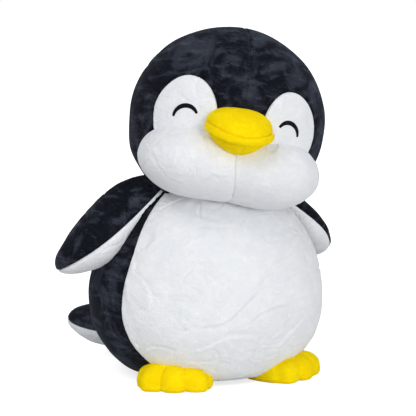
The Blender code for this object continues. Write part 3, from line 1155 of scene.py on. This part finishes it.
@dataclass
class Head:
    """The head: two black halves, white eye patches, cheeks, embroidered eyes and a beak.

    Attributes:
        torso: the body that the head rests on.
        half: the skull's half sizes.
        fuller: how much wider the right side is.
        jowl: how much wider still it gets towards the cheek.
        seat: where the head leans from.
        rise: from the seat to the head's middle.
        yaw: turn about the upright, in degrees.
        roll: lean about the front-to-back line, in degrees.
        chin_half_width: of the chin that is tucked up behind the cheeks.
        chin_tuck: how far it is tucked up.
        patch_azimuths: of the eye patches' middles on the left and right, in degrees.
        patch_spread: their half width, in degrees.
        patch_height: of their middles above the head's middle.
        patch_half_height: of one patch.
        patch_scale: the length that stands for one patch radius.
        patch_sink: how far the black fabric is drawn in at a patch.
        patch_sink_width: how far out from the patch it is drawn in.
        patch_puff: how far a patch stands out.
        eye_azimuths: of the eyes on the left and right, in degrees.
        eye_height: of the eyes above the head's middle.
        eye_half_width: of one eye.
        eye_rise: from an eye's ends to its top.
        eye_slant: of its outer end, in degrees.
        eye_sweep: half the turn of its arc, in degrees.
        eye_line: width of the line in its middle.
        eye_line_end: width at its ends.
        cheek_middle: of the left cheek.
        cheek_half: its half sizes.
        cheek_fill: how far it is filled out towards the seam.
        seam_shift: how far the cheeks' seam starts to the right.
        seam_swing: how far it swings to the left towards the chin.
        beak_middle: of the beak.
        beak_half_width: of the beak.
        beak_depth: of the beak, to the front.
        beak_up: height of the upper half.
        beak_down: height of the lower half.
        beak_droop: how much higher the rim's corners are than its middle.
        beak_set_back: size of the lower half against the upper.
        lip_radius: of the lip roll.
        lip_azimuth: half the turn that it takes, in degrees.
        neck_pivot: the middle of the neck's gusset.
        neck_radius: of the gusset.
        stitch_pitch: from one crown stitch to the next.
        stitch_sink: how far the stitches lie below the fabric.
        stitch_turn: where their row starts and ends over the crown, in degrees.
    """

    torso: Torso
    half: tuple[float, float, float] = (0.122, 0.115, 0.119)
    fuller: float = 1.022
    jowl: float = 0.050
    seat: tuple[float, float, float] = (-0.001, -0.030, 0.2365)
    rise: float = 0.090
    yaw: float = -19.5
    roll: float = 10.0
    chin_half_width: float = 0.085
    chin_tuck: float = 0.060
    patch_azimuths: tuple[float, float] = (32.8, 35.1)
    patch_spread: float = 20.9
    patch_height: float = 0.002
    patch_half_height: float = 0.0505
    patch_scale: float = 0.044
    patch_sink: float = 0.0046
    patch_sink_width: float = 0.0050
    patch_puff: float = 0.0012
    eye_azimuths: tuple[float, float] = (29.8, 33.3)
    eye_height: float = 0.0073
    eye_half_width: float = 0.0155
    eye_rise: float = 0.014
    eye_slant: float = 16.0
    eye_sweep: float = 78.0
    eye_line: float = 0.0056
    eye_line_end: float = 0.0018
    cheek_middle: tuple[float, float, float] = (0.043, -0.066, -0.0505)
    cheek_half: tuple[float, float, float] = (0.070, 0.073, 0.0465)
    cheek_fill: float = 0.78
    seam_shift: float = 0.0034
    seam_swing: float = 0.0085
    beak_middle: tuple[float, float, float] = (-0.0030, -0.113, -0.0108)
    beak_half_width: float = 0.041
    beak_depth: float = 0.047
    beak_up: float = 0.035
    beak_down: float = 0.0215
    beak_droop: float = 0.010
    beak_set_back: float = 0.935
    lip_radius: float = 0.0047
    lip_azimuth: float = 79.0
    neck_pivot: tuple[float, float, float] = (0.005, -0.011, 0.183)
    neck_radius: float = 0.085
    stitch_pitch: float = 0.0039
    stitch_sink: float = 0.0016
    stitch_turn: tuple[float, float] = (-2.0, 200.0)

    def __post_init__(self) -> None:
        """Works out the head's own frame."""
        self.matrix = (
            Matrix.Translation(self.seat)
            @ Matrix.Rotation(math.radians(self.yaw), 4, "Z")
            @ Matrix.Rotation(math.radians(self.roll), 4, "Y")
            @ Matrix.Translation((0.0, 0.0, self.rise))
        )
        self.inverse = self.matrix.inverted()

    def shape(self, d: Points) -> Points:
        """The skull's surface, a little fuller on the right.

        Args:
            d: unit directions, one row each.

        Returns:
            The points, one row each.
        """
        p = d * np.array(self.half)
        fuller = self.fuller + self.jowl * eased((-p[:, 2] - 0.010) / 0.060)
        p[:, 0] *= np.where(p[:, 0] < 0, fuller, 1.0)
        return moved(p, self.matrix)

    def face_spot(self, azimuth: np.ndarray, height: np.ndarray) -> Points:
        """Directions from an azimuth off the face's midline and a height from the middle.

        Args:
            azimuth: off the midline, in radians.
            height: above the head's middle.

        Returns:
            The directions.
        """
        z = height / self.half[2]
        level = np.sqrt(np.maximum(1 - z * z, 0.0))
        return np.stack((np.sin(azimuth) * level, -np.cos(azimuth) * level, z), axis=1)

    def patch_distance(self, points: Points) -> np.ndarray:
        """About how far outside the nearer eye patch each point is, and below 0 inside it.

        Args:
            points: one row for each point.

        Returns:
            The distances.
        """
        p = moved(points, self.inverse)
        azimuth = np.abs(np.arctan2(p[:, 0] / self.half[0], -p[:, 1] / self.half[1]))
        middle = np.radians(np.where(p[:, 0] > 0, *self.patch_azimuths))
        a = (azimuth - middle) / math.radians(self.patch_spread)
        b = (p[:, 2] - self.patch_height) / self.patch_half_height
        return (np.hypot(a, b) - 1) * self.patch_scale

    def rest(self, points: Points) -> Points:
        """Rests the head's underside on the shoulders, and tucks the black in behind the cheeks.

        Args:
            points: one row for each point.

        Returns:
            The points, one row each.
        """
        p = moved(points, self.inverse)
        front = eased((-p[:, 1] - 0.012) / 0.040)
        chin = front * eased((self.chin_half_width - np.abs(p[:, 0])) / 0.030)
        p[:, 2] = np.maximum(p[:, 2], -self.half[2] + self.chin_tuck * chin)
        return self.torso.rest_on(moved(p, self.matrix), 0.0002)

    def build(self, shop: Workshop) -> None:
        """Sews the whole head.

        Args:
            shop: makes and dresses the pieces.
        """
        self._neck(shop)
        self._skull(shop)
        for hand in Hand:
            self._patch(shop, hand)
            self._cheek(shop, hand)
        self._beak(shop)

    def _neck(self, shop: Workshop) -> None:
        """Sews the gusset inside the neck, which shows only when the head tips.

        Args:
            shop: makes and dresses the pieces.
        """
        pivot = np.array(self.neck_pivot)
        neck = Panel(
            "neck_gusset", lambda d: pivot + d * self.neck_radius,
            cap((0.0, -0.3, 1.0), math.radians(100)), 60, 60, BLACK_PLUSH,
            Hem(0.001, 0.004, 0.0), relief=(Lumps(0.0006, 0.03, 2.0),),
        ).sew(shop)
        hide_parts("neck_filling")
        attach(neck, "neck")

    def _skull(self, shop: Workshop) -> None:
        """Sews the black halves, and the stitches that show along the crown.

        Args:
            shop: makes and dresses the pieces.
        """
        lumps = (
            Lumps(0.0013, 0.085, 8.5),
            Lumps(0.0008, 0.032, 11.0),
            Creases(0.0008, 0.055, 0.08, (1.0, 1.0, 1.0), 0.36, 17.0),
        )

        def around_patch(points: Points) -> np.ndarray:
            """The lift that draws the black in round a patch."""
            far = self.patch_distance(points)
            return -self.patch_sink * (1 - eased(far / self.patch_sink_width))

        for hand in Hand:
            half = Panel(
                f"head_cover_{hand.word}", self.shape,
                cap((hand.value, 0.0, 0.0), math.pi / 2), 170, 170, BLACK_PLUSH,
                Hem(0.0018, 0.0036, 0.0002, 0.0078, 0.006), ALL_ROUND, lumps,
                around_patch, self.rest,
            ).sew(shop)
            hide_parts(f"head_{hand.word}", *(["head_filling"] if hand is Hand.LEFT else []))
            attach(half, "head")
        start, end = np.radians(self.stitch_turn)
        count = int((end - start) * self.half[2] / self.stitch_pitch)
        turn = np.linspace(start, end, count)
        d = bearing(turn * 0, turn)
        middle = self.shape(d)
        out = normals_of(self.shape, d)
        across = np.tile(np.array(self.matrix.to_3x3() @ Vector((1.0, 0.0, 0.0))), (count, 1))
        sewn = Stitches("crown_stitches", SEAM_THREAD).sew(
            shop, middle - out * self.stitch_sink, across, out
        )
        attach(sewn, "head")

    def patch_relief(self, points: Points) -> np.ndarray:
        """The lift of an eye patch's middle, which the embroidery follows."""
        return (
            self.patch_puff
            + Lumps(0.0007, 0.030, 31.0).at(points)
            + Creases(0.00065, 0.020, 0.11, cover=0.5, seed=37.0).at(points)
        )

    def _patch(self, shop: Workshop, hand: Hand) -> None:
        """Sews one eye patch and embroiders its eye.

        Args:
            shop: makes and dresses the pieces.
            hand: the side.
        """

        def spot(u: np.ndarray, v: np.ndarray) -> Points:
            """Directions of the patch's points."""
            a, b = disc(u, v)
            azimuth = np.radians(self.patch_azimuths[hand is Hand.RIGHT] + a * self.patch_spread)
            height = self.patch_height + b * self.patch_half_height
            return self.face_spot(hand.value * azimuth, height)

        patch = Panel(
            f"eye_patch_cover_{hand.word}", self.shape, spot, 84, 84, WHITE_PLUSH,
            Hem(0.0040, 0.0042, 0.0002, 0.0085, 0.006), extra=self.patch_relief,
        ).sew(shop)
        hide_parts(f"eye_patch_{hand.word}")
        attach(patch, "head")
        self._eye(shop, hand)

    def _eye(self, shop: Workshop, hand: Hand) -> None:
        """Embroiders one smiling eye in satin stitch.

        Args:
            shop: makes and dresses the pieces.
            hand: the side.
        """
        slant = math.radians(-self.eye_slant)

        def spot(u: np.ndarray, v: np.ndarray) -> Points:
            """Directions of the smile's points."""
            turn = u * math.radians(self.eye_sweep)
            half = self.eye_line_end + (self.eye_line - self.eye_line_end) * np.cos(turn) ** 0.8
            lean_x, lean_y = self.eye_rise * np.sin(turn), self.eye_half_width * np.cos(turn)
            reach = v * half / 2 / np.hypot(lean_x, lean_y)
            x = self.eye_half_width * np.sin(turn) + lean_x * reach
            y = self.eye_rise * (np.cos(turn) - 0.5) + lean_y * reach
            along = x * math.cos(slant) - y * math.sin(slant)
            rise = x * math.sin(slant) + y * math.cos(slant)
            azimuth = math.radians(self.eye_azimuths[hand is Hand.RIGHT]) + along / self.half[0]
            return self.face_spot(hand.value * azimuth, self.eye_height + rise)

        columns, rows = 220, 14
        u, v = square(columns, rows)
        d = unit(spot(u, v))
        flat, out = self.shape(d), normals_of(self.shape, d)
        crown = np.sqrt(np.maximum(1 - v**4, 0.0)) * np.sqrt(np.maximum(1 - u**8, 0.0))
        strands = 0.00013 * np.sin(u * 150 + v * 2.2)
        lift = self.patch_relief(flat) + 0.0001 + (0.0010 + strands) * crown
        eye = shop.piece(
            f"eye_embroidery_{hand.word}",
            grid_mesh(flat + out * lift[:, None], columns, rows, out), EYE_THREAD,
        )
        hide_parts(f"eye_{hand.word}")
        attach(eye, "head")

    def cheek_shape(self, hand: Hand) -> Shape:
        """One cheek, fuller towards the face's midline than a plain egg.

        Args:
            hand: the side.

        Returns:
            The shape.
        """
        middle = np.array((hand.value * self.cheek_middle[0], *self.cheek_middle[1:]))

        def shape(d: Points) -> Points:
            """The cheek's surface."""
            q = d * np.array(self.cheek_half)
            inward = np.clip(-hand.value * q[:, 0], 0.0, self.cheek_middle[0])
            round_ = np.sqrt(1 - (inward / self.cheek_half[0]) ** 2)
            q[:, 1:] *= (1 + self.cheek_fill * (1 / round_ - 1))[:, None]
            q += middle
            q[:, 0] += self.seam_drift(q[:, 2]) * bell(q[:, 0], 0.035)
            return moved(q, self.matrix)

        return shape

    def seam_drift(self, height: np.ndarray) -> np.ndarray:
        """How far the cheeks' seam drifts to the left towards the chin."""
        return self.seam_swing * eased((-height - 0.030) / 0.070) - self.seam_shift

    def _cheek(self, shop: Workshop, hand: Hand) -> None:
        """Sews one cheek.

        Args:
            shop: makes and dresses the pieces.
            hand: the side.
        """

        def seam_line(points: Points) -> np.ndarray:
            """The lift of the rounded edge at the cheeks' seam."""
            p = moved(points, self.inverse)
            return 0.0008 * rolled(hand.value * (p[:, 0] - self.seam_drift(p[:, 2])), 0.0030)

        def settle(points: Points) -> Points:
            """Keeps the cheek on its own side and off the body."""
            p = moved(points, self.inverse)
            drift = self.seam_drift(p[:, 2])
            p[:, 0] = drift + hand.value * np.maximum(hand.value * (p[:, 0] - drift), -0.0003)
            return self.torso.rest_on(moved(p, self.matrix), 0.0020)

        cheek = Panel(
            f"cheek_cover_{hand.word}", self.cheek_shape(hand),
            cap((hand.value * 0.25, -1.0, -0.1), math.radians(150)), 150, 150, WHITE_PLUSH,
            Hem(0.0, 0.004, 0.0),
            relief=(
                Lumps(0.0012, 0.050, 41.0 + hand.value),
                Creases(0.00105, 0.042, 0.045, (1.3, 1.0, 0.8), 0.60, 44.5),
                Creases(0.00080, 0.023, 0.090, (1.0, 1.0, 1.0), 0.42, 48.5),
            ),
            extra=seam_line, settle=settle,
        ).sew(shop)
        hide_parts(f"cheek_{hand.word}", f"cheek_filling_{hand.word}")
        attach(cheek, "head")

    def beak_shape(self, d: Points) -> Points:
        """The beak's surface, with its rim drooping in the middle.

        Args:
            d: unit directions, one row each.

        Returns:
            The points, one row each.
        """
        lip = self.beak_droop * (d[:, 0] ** 2 - 0.1)
        z = lip + np.where(d[:, 2] > 0, self.beak_up, self.beak_down) * d[:, 2]
        wide = np.where(d[:, 2] < -1e-6, self.beak_set_back, 1.0)
        x, y = self.beak_half_width * d[:, 0] * wide, self.beak_depth * d[:, 1] * wide
        return moved(np.stack((x, y, z), axis=1) + np.array(self.beak_middle), self.matrix)

    def _beak(self, shop: Workshop) -> None:
        """Sews the upper and lower beak and the rolled lip between them.

        Args:
            shop: makes and dresses the pieces.
        """

        def spot(side: int) -> Spot:
            """A map from the square to one half of the beak."""
            def place(u: np.ndarray, v: np.ndarray) -> Points:
                """Directions of that half's points."""
                azimuth = u * math.radians(105)
                latitude = (v + 1) / 2 * math.radians(89.5)
                d = bearing(azimuth, latitude)
                d[:, 2] = side * np.maximum(d[:, 2], 2e-6)
                return d

            return place

        for word, side in (("upper", 1), ("lower", -1)):

            def seam(points: Points, side: int = side) -> np.ndarray:
                """The lift of the line down the middle of the lower half."""
                x = moved(points, self.inverse)[:, 0]
                return -0.0012 * bell(x, 0.0016) * (side < 0)

            half = Panel(
                f"beak_cover_{word}", self.beak_shape, spot(side), 120, 60, YELLOW_PLUSH,
                Hem(0.0036, 0.0060, 0.0002, 0.008, 0.008),
                (Border.BOTTOM,), (Lumps(0.0008, 0.026, 51.0 + side), Lumps(0.0003, 0.009, 5.0)),
                extra=seam,
            ).sew(shop)
            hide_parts(f"beak_{word}", *(["beak_filling"] if side > 0 else []))
            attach(half, "head")
        self._lip(shop)

    def _lip(self, shop: Workshop) -> None:
        """Sews the rolled lip, thinner towards the corners of the mouth.

        Args:
            shop: makes and dresses the pieces.
        """
        columns, rows = 22, 170
        u, v = square(columns, rows)
        turn, azimuth = u * math.pi, v * math.radians(self.lip_azimuth)
        d = bearing(azimuth, azimuth * 0)
        out = normals_of(self.beak_shape, d)
        up = np.array(self.matrix.to_3x3() @ Vector((0.0, 0.0, 1.0)))
        level = unit(out - (out @ up)[:, None] * up)
        ends = np.sqrt(np.clip((1 - np.abs(v)) / 0.10, 0.0, 1.0))
        line = self.beak_shape(d) + level * 0.0022 * (ends * 1.8 - 0.8)[:, None] - up * 0.0016
        uneven = 0.07 * noise_at(line, 0.012, 3.0) + 0.05 * noise_at(line, 0.005, 8.0)
        size = self.lip_radius * ends * (1 + uneven)
        spoke = level * np.cos(turn)[:, None] + up * np.sin(turn)[:, None] * 1.05
        mesh = grid_mesh(line + spoke * size[:, None], columns, rows, spoke)
        lip = shop.piece("beak_lip_roll", mesh, YELLOW_PLUSH)
        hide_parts("beak_lip")
        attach(lip, "head")


@dataclass
class Flipper:
    """One flipper: a black outer panel and a white inner one, sewn to the shoulder.

    Attributes:
        torso: the body that the flipper leans on.
        hand: its side.
        hinge: where it is sewn on, for the left side.
        length: from the shoulder to the tip.
        fall: slope below level, in degrees.
        sweep: turn towards the back, in degrees.
        twist: front edge outwards, in degrees.
        half_chord: half its width at the widest.
        root_chord: half its width at the root.
        widest_at: where it is widest, as a share of its length.
        outsides: thickness of the outer face on the left and right.
        root_fuller: that thickness at the root, as a share.
        tip_thinner: how much of the share is lost towards the tip.
        inside: thickness of the inner face.
        tucked: how far the root runs up under the neck.
        root_sag: how far the root bends in.
        tip_lift: how far the tip bends out.
        sag_power: how late along the flipper it bends out.
        bend_end: a distance past the hinge; not used.
    """

    torso: Torso
    hand: Hand
    hinge: tuple[float, float, float] = (0.1015, 0.0, 0.2340)
    length: float = 0.136
    fall: float = 47.0
    sweep: float = 26.0
    twist: float = 2.0
    half_chord: float = 0.056
    root_chord: float = 0.034
    widest_at: float = 0.62
    outsides: tuple[float, float] = (0.0292, 0.0445)
    root_fuller: float = 1.22
    tip_thinner: float = 0.44
    inside: float = 0.030
    tucked: float = 0.040
    root_sag: float = -0.020
    tip_lift: float = 0.005
    sag_power: float = 2.4
    bend_end: float = 0.030

    def __post_init__(self) -> None:
        """Works out the left flipper's own frame."""
        self.matrix = (
            Matrix.Translation(self.hinge)
            @ Matrix.Rotation(math.radians(self.sweep), 4, "Z")
            @ Matrix.Rotation(math.radians(self.fall), 4, "Y")
            @ Matrix.Rotation(-math.radians(self.twist), 4, "X")
        )

    def lie_on_torso(self, points: Points, free: float) -> Points:
        """Pushes points out of the torso along the flipper's own normal.

        Args:
            points: one row for each point.
            free: left between them and the torso.

        Returns:
            The points, one row each.
        """
        out = np.array(self.matrix.to_3x3() @ Vector((0.0, 0.0, 1.0)))
        round_, tall = self.torso.radius, self.torso.top - self.torso.widest
        scale = np.array((round_, round_, tall)) + free
        at = (points - np.array((0.0, 0.0, self.torso.widest))) / scale
        way = out / scale
        a, b, c = way @ way, at @ way, (at * at).sum(axis=1) - 1
        reach = (np.sqrt(np.maximum(b * b - a * c, 0.0)) - b) / a
        return points + out * np.where(c < 0, reach, 0.0)[:, None]

    def left_shape(self, d: Points) -> Points:
        """The left flipper's surface: x along it, y across, z from inner to outer face.

        Args:
            d: unit directions, one row each.

        Returns:
            The points, one row each.
        """
        x = (self.length + self.tucked) * (1 + d[:, 0]) / 2 - self.tucked
        s = np.clip(x / self.length, 0.0, 1.0)
        chord = self.root_chord + (self.half_chord - self.root_chord) * np.sin(
            np.minimum(s / self.widest_at, 1.0) * math.pi / 2
        )
        inner = self.inside * (0.45 + 0.55 * eased(s / 0.6))
        run = (1 + d[:, 0]) / 2
        share = self.root_fuller - self.tip_thinner * run
        outer = self.outsides[self.hand is Hand.RIGHT] * share
        thick = np.where(d[:, 2] > 0, outer, inner)
        p = np.stack((x, chord * d[:, 1], self.sag(x) + thick * d[:, 2]), axis=1)
        out = moved(p, self.matrix)
        return np.where(d[:, 2:] > 0, out, self.lie_on_torso(out, 0.0012))

    def sag(self, x: np.ndarray) -> np.ndarray:
        """How far the flipper's middle lies off a straight line: in at the root, out at the tip.

        Args:
            x: along the flipper, from the hinge.

        Returns:
            How far off the line.
        """
        run = (x + self.tucked) / (self.length + self.tucked)
        late = np.clip(run, 0.0, 1.0) ** self.sag_power
        return self.root_sag + (self.tip_lift - self.root_sag) * late

    def build(self, shop: Workshop) -> None:
        """Sews both panels.

        Args:
            shop: makes and dresses the pieces.
        """
        shape = self.left_shape if self.hand is Hand.LEFT else mirrored(self.left_shape)
        flip = np.array((self.hand.value, 1.0, 1.0))
        back = self.matrix.inverted()
        word = self.hand.word
        for face, side, finish in ((1, "outer", BLACK_PLUSH), (-1, "inner", WHITE_PLUSH)):

            def keep(points: Points, face: int = face) -> Points:
                """Keeps a panel on its own side of the flipper's middle."""
                q = moved(points * flip, back)
                level = self.sag(q[:, 0])
                q[:, 2] = level + face * np.maximum(face * (q[:, 2] - level), -0.0008)
                return moved(q, self.matrix) * flip

            panel = Panel(
                f"flipper_cover_{word}_{side}", shape, cap((0.0, 0.0, face), math.pi / 2),
                110, 110, finish, Hem(0.0026, 0.0050, 0.0004, 0.010, 0.010),
                relief=(
                    Lumps(0.0018, 0.040, 61.0 + 3 * face),
                    Lumps(0.0006, 0.015, 64.0),
                    Creases(0.0007, 0.026, 0.09, cover=0.45, seed=67.0),
                ),
                settle=keep,
            ).sew(shop)
            nodes = [f"flipper_{word}_{side}"]
            if face > 0:
                nodes.append(f"flipper_{word}_filling")
            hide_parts(*nodes)
            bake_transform(panel)


@dataclass
class Tail:
    """The short tail: a black top and a white underside.

    Attributes:
        bearing: from straight back towards the right, in degrees.
        root_height: of the tail's root.
        length: from root to tip.
        start: of the root, from the body's axis.
        half_width: at the root.
        half_thick: at the root.
        narrowing: how much narrower the tip is, as a share.
        thinning: how much thinner it is.
        climb: how much higher it is than the root.
        bends: two distances from the body's axis; not used.
    """

    bearing: float = 26.0
    root_height: float = 0.0365
    length: float = 0.116
    start: float = 0.112
    half_width: float = 0.050
    half_thick: float = 0.030
    narrowing: float = 0.15
    thinning: float = 0.25
    climb: float = 0.010
    bends: tuple[float, float] = (0.122, 0.155)

    def __post_init__(self) -> None:
        """Works out the tail's own frame."""
        self.matrix = Matrix.Rotation(math.radians(self.bearing + 90.0), 4, "Z")

    def shape(self, d: Points) -> Points:
        """The tail's surface: x out along it, y across, z up.

        Args:
            d: unit directions, one row each.

        Returns:
            The points, one row each.
        """
        s = (1 + d[:, 0]) / 2
        x = self.start + self.length * s
        y = self.half_width * (1 - self.narrowing * s) * d[:, 1]
        z = self.half_thick * (1 - self.thinning * s) * d[:, 2] + self.root_height + self.climb * s
        return moved(np.stack((x, y, z), axis=1), self.matrix)

    def build(self, shop: Workshop) -> None:
        """Sews both panels.

        Args:
            shop: makes and dresses the pieces.
        """
        for face, side, finish in ((1, "top", BLACK_PLUSH), (-1, "under", WHITE_PLUSH)):
            panel = Panel(
                f"tail_cover_{side}", self.shape, cap((0.0, 0.0, face), math.pi / 2),
                90, 90, finish, Hem(0.0026, 0.0050, 0.0003, 0.010, 0.009),
                relief=(Lumps(0.0014, 0.036, 71.0 + face), Lumps(0.0005, 0.013, 75.0)),
                settle=above(0.0006),
            ).sew(shop)
            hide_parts(f"tail_{side}", *(["tail_filling"] if face > 0 else []))
            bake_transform(panel)


@dataclass
class Foot:
    """One yellow foot with three stitched toes.

    Attributes:
        hand: its side.
        radius: from the body's axis to the foot's middle.
        azimuths: from the front, in degrees, on the left and on the right.
        splay: turn outwards, in degrees.
        half_width: of the foot.
        half_length: of the foot.
        height: of its top.
        seam_height: of the seam round the sole.
        scallop: how far the toes stand out, as a share.
        toe_angle: from the foot's middle to a crease between toes, in degrees.
        squareness: power of its rounded-square outline.
        fullness: power of its top; a lower one is flatter.
        heel_taper: how much narrower the heel is, as a share.
        crease_depths: of the stitched line between toes and of the dip round it.
        crease_widths: of both.
    """

    hand: Hand
    radius: float = 0.103
    azimuths: tuple[float, float] = (41.5, 48.3)
    splay: float = 30.0
    half_width: float = 0.0495
    half_length: float = 0.0445
    height: float = 0.0350
    seam_height: float = 0.006
    scallop: float = 0.105
    toe_angle: float = 22.5
    squareness: float = 2.9
    fullness: float = 0.62
    heel_taper: float = 0.10
    crease_depths: tuple[float, float] = (0.0017, 0.0008)
    crease_widths: tuple[float, float] = (0.0015, 0.0065)

    def __post_init__(self) -> None:
        """Works out the left foot's own frame."""
        turn = math.radians(self.azimuths[self.hand is Hand.RIGHT])
        self.matrix = Matrix.Translation(
            (self.radius * math.sin(turn), -self.radius * math.cos(turn), 0.0)
        ) @ Matrix.Rotation(math.radians(self.splay), 4, "Z")

    def left_shape(self, d: Points) -> Points:
        """The left foot's surface: x across it, -y towards the toes, z up.

        Args:
            d: unit directions, one row each.

        Returns:
            The points, one row each.
        """
        angle = np.arctan2(d[:, 0], -d[:, 1])
        front = eased((math.radians(72) - np.abs(angle)) / math.radians(20))
        toes = 1 + self.scallop * front * (np.cos(8 * angle) - 0.6) / 2
        c, s = np.abs(np.cos(angle)), np.abs(np.sin(angle))
        toes *= (c**self.squareness + s**self.squareness) ** (-1 / self.squareness)
        x = self.half_width * d[:, 0] * (1 - self.heel_taper * (1 + d[:, 1]) / 2) * toes
        y = self.half_length * d[:, 1] * toes
        z = np.where(
            d[:, 2] > 0,
            self.seam_height + (self.height - self.seam_height) * np.abs(d[:, 2]) ** self.fullness,
            self.seam_height * (1 - np.minimum(-d[:, 2] * 2.5, 1.0)),
        )
        return moved(np.stack((x, y, z), axis=1), self.matrix)

    def crease(self, points: Points) -> np.ndarray:
        """The lift of the two creases between the toes.

        Args:
            points: one row for each point.

        Returns:
            The lift at each point.
        """
        p = moved(points * np.array((self.hand.value, 1.0, 1.0)), self.matrix.inverted())
        lift = np.zeros(len(p))
        front = eased((-p[:, 1] - 0.014) / 0.018)
        for side in (-1, 1):
            spine = side * math.tan(math.radians(self.toe_angle)) * np.maximum(-p[:, 1], 0.0)
            for depth, width in zip(self.crease_depths, self.crease_widths):
                lift -= depth * bell(p[:, 0] - spine, width) * front
        return lift

    def build(self, shop: Workshop) -> None:
        """Sews the top and the sole.

        Args:
            shop: makes and dresses the pieces.
        """
        shape = self.left_shape if self.hand is Hand.LEFT else mirrored(self.left_shape)
        word = self.hand.word
        for face, side, squares in ((1, "top", 110), (-1, "sole", 60)):
            panel = Panel(
                f"foot_cover_{word}_{side}", shape, cap((0.0, 0.0, face), math.pi / 2),
                squares, squares, YELLOW_PLUSH,
                Hem(0.0005, 0.0030, 0.0001, 0.008, 0.008),
                relief=(Lumps(0.0008, 0.022, 81.0 + self.hand.value), Lumps(0.0003, 0.008, 83.0)),
                extra=self.crease, settle=above(0.0003),
            ).sew(shop)
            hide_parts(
                f"foot_{word}_{side}", *([f"foot_{word}_filling"] if face > 0 else [])
            )
            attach(panel, "torso")


# Set


@dataclass(frozen=True)
class SoftLight:
    """A distant light with a wide disc.

    Attributes:
        name: of the light.
        azimuth: off the front, in degrees.
        elevation: in degrees.
        strength: of the light.
        disc: angle across the light, in degrees.
    """

    name: str
    azimuth: float
    elevation: float
    strength: float
    disc: float


@dataclass(frozen=True)
class Studio:
    """A pale floor, soft light and the camera.

    Attributes:
        azimuth: of the camera, in degrees.
        elevation: of the camera, in degrees.
        distance: from the target.
        width: seen at the target.
        height: of the target.
        aside: of the target, to the camera's right.
        sensor: width of the camera's sensor, in millimetres.
        lights: the two lights.
        surround_glow: how brightly the surround lights the toy.
        floor_size: half the floor's side.
        floor_tone: how pale the floor is under the lights.
        floor_glow: what the camera sees on top of that.
    """

    azimuth: float = -27.0
    elevation: float = 7.0
    distance: float = 2.2
    width: float = 0.535
    height: float = 0.2115
    aside: float = 0.003
    sensor: float = 36.0
    lights: tuple[SoftLight, ...] = (
        SoftLight("key_light", -70.0, 48.0, 0.80, 36.0),
        SoftLight("front_light", 2.0, 4.0, 1.62, 24.0),
    )
    surround_glow: float = 0.55
    floor_size: float = 30.0
    floor_tone: float = 0.78
    floor_glow: float = 0.72

    @staticmethod
    def hang(name: str, data: bpy.types.ID, place: Vector, back: Vector) -> bpy.types.Object:
        """Hangs a camera or a light.

        Args:
            name: of the object.
            data: the camera or the light.
            place: where it hangs.
            back: the direction behind it.

        Returns:
            The object.
        """
        hung = bpy.data.objects.new(name, data)
        hung.location = place
        hung.rotation_mode = "QUATERNION"
        hung.rotation_quaternion = (-back).to_track_quat("-Z", "Y")
        bpy.context.scene.collection.objects.link(hung)
        return hung

    def camera(self) -> None:
        """Sets up the camera."""
        back = toward(self.azimuth, self.elevation)
        right = toward(self.azimuth + 90.0, 0.0)
        lens = bpy.data.cameras.new("studio_camera")
        lens.sensor_width = self.sensor
        lens.lens = self.sensor * self.distance / self.width
        lens.clip_start, lens.clip_end = 0.01, 100.0
        place = Vector((0.0, 0.0, self.height)) + right * self.aside + back * self.distance
        bpy.context.scene.camera = self.hang("studio_camera", lens, place, back)

    def light(self) -> None:
        """Hangs the soft lights and the pale surround."""
        world = bpy.data.worlds.new("pale_surround")
        bpy.context.scene.world = world
        world.use_nodes = True
        tree = world.node_tree
        tree.nodes.clear()
        glow = ShaderKit.add(
            tree, "ShaderNodeBackground", Color=(0.97, 0.98, 1.0, 1.0), Strength=self.surround_glow
        )
        plain = ShaderKit.add(
            tree, "ShaderNodeBackground", Color=(1.0, 1.0, 1.0, 1.0), Strength=1.0
        )
        ray = ShaderKit.add(tree, "ShaderNodeLightPath")
        mix = ShaderKit.add(tree, "ShaderNodeMixShader")
        out = ShaderKit.add(tree, "ShaderNodeOutputWorld")
        tree.links.new(mix.outputs[0], out.inputs["Surface"])
        sources = (ray.outputs["Is Camera Ray"], glow.outputs[0], plain.outputs[0])
        for source, target in zip(sources, mix.inputs):
            tree.links.new(source, target)
        for light in self.lights:
            lamp = bpy.data.lights.new(light.name, "SUN")
            lamp.energy = light.strength
            lamp.angle = math.radians(light.disc)
            way = toward(light.azimuth, light.elevation)
            self.hang(light.name, lamp, way * 2.0, way)

    def floor(self) -> None:
        """Lays the pale floor."""
        bm = bmesh.new()
        bmesh.ops.create_grid(bm, x_segments=4, y_segments=4, size=self.floor_size)
        floor = linked("studio_floor", bm)
        paint, shader = ShaderKit.material(
            "pale_floor", Base_Color=(self.floor_tone, self.floor_tone, self.floor_tone, 1.0),
            Roughness=0.9, Specular_IOR_Level=0.0, Emission_Color=(1.0, 1.0, 1.0, 1.0),
        )
        tree = paint.node_tree
        ray = ShaderKit.add(tree, "ShaderNodeLightPath")
        seen = ShaderKit.math(tree, "MULTIPLY", ray.outputs["Is Camera Ray"], self.floor_glow)
        tree.links.new(seen, shader.inputs["Emission Strength"])
        floor.data.materials.append(paint)

    def build(self) -> None:
        """Sets the whole studio."""
        self.camera()
        self.light()
        self.floor()
        bpy.context.scene.view_settings.view_transform = "Standard"


def main() -> None:
    """Builds the penguin on its frame, part by part."""
    logging.basicConfig(level=logging.INFO, format="%(message)s")
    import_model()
    Studio().build()
    shop = Workshop()
    torso = Torso()
    parts = [torso, Head(torso)]
    for hand in Hand:
        parts += [Flipper(torso, hand), Foot(hand)]
    parts.append(Tail())
    for part in parts:
        part.build(shop)
    LOG.info("pieces: %d", len(shop.pieces))


if __name__ == "__main__":
    main()
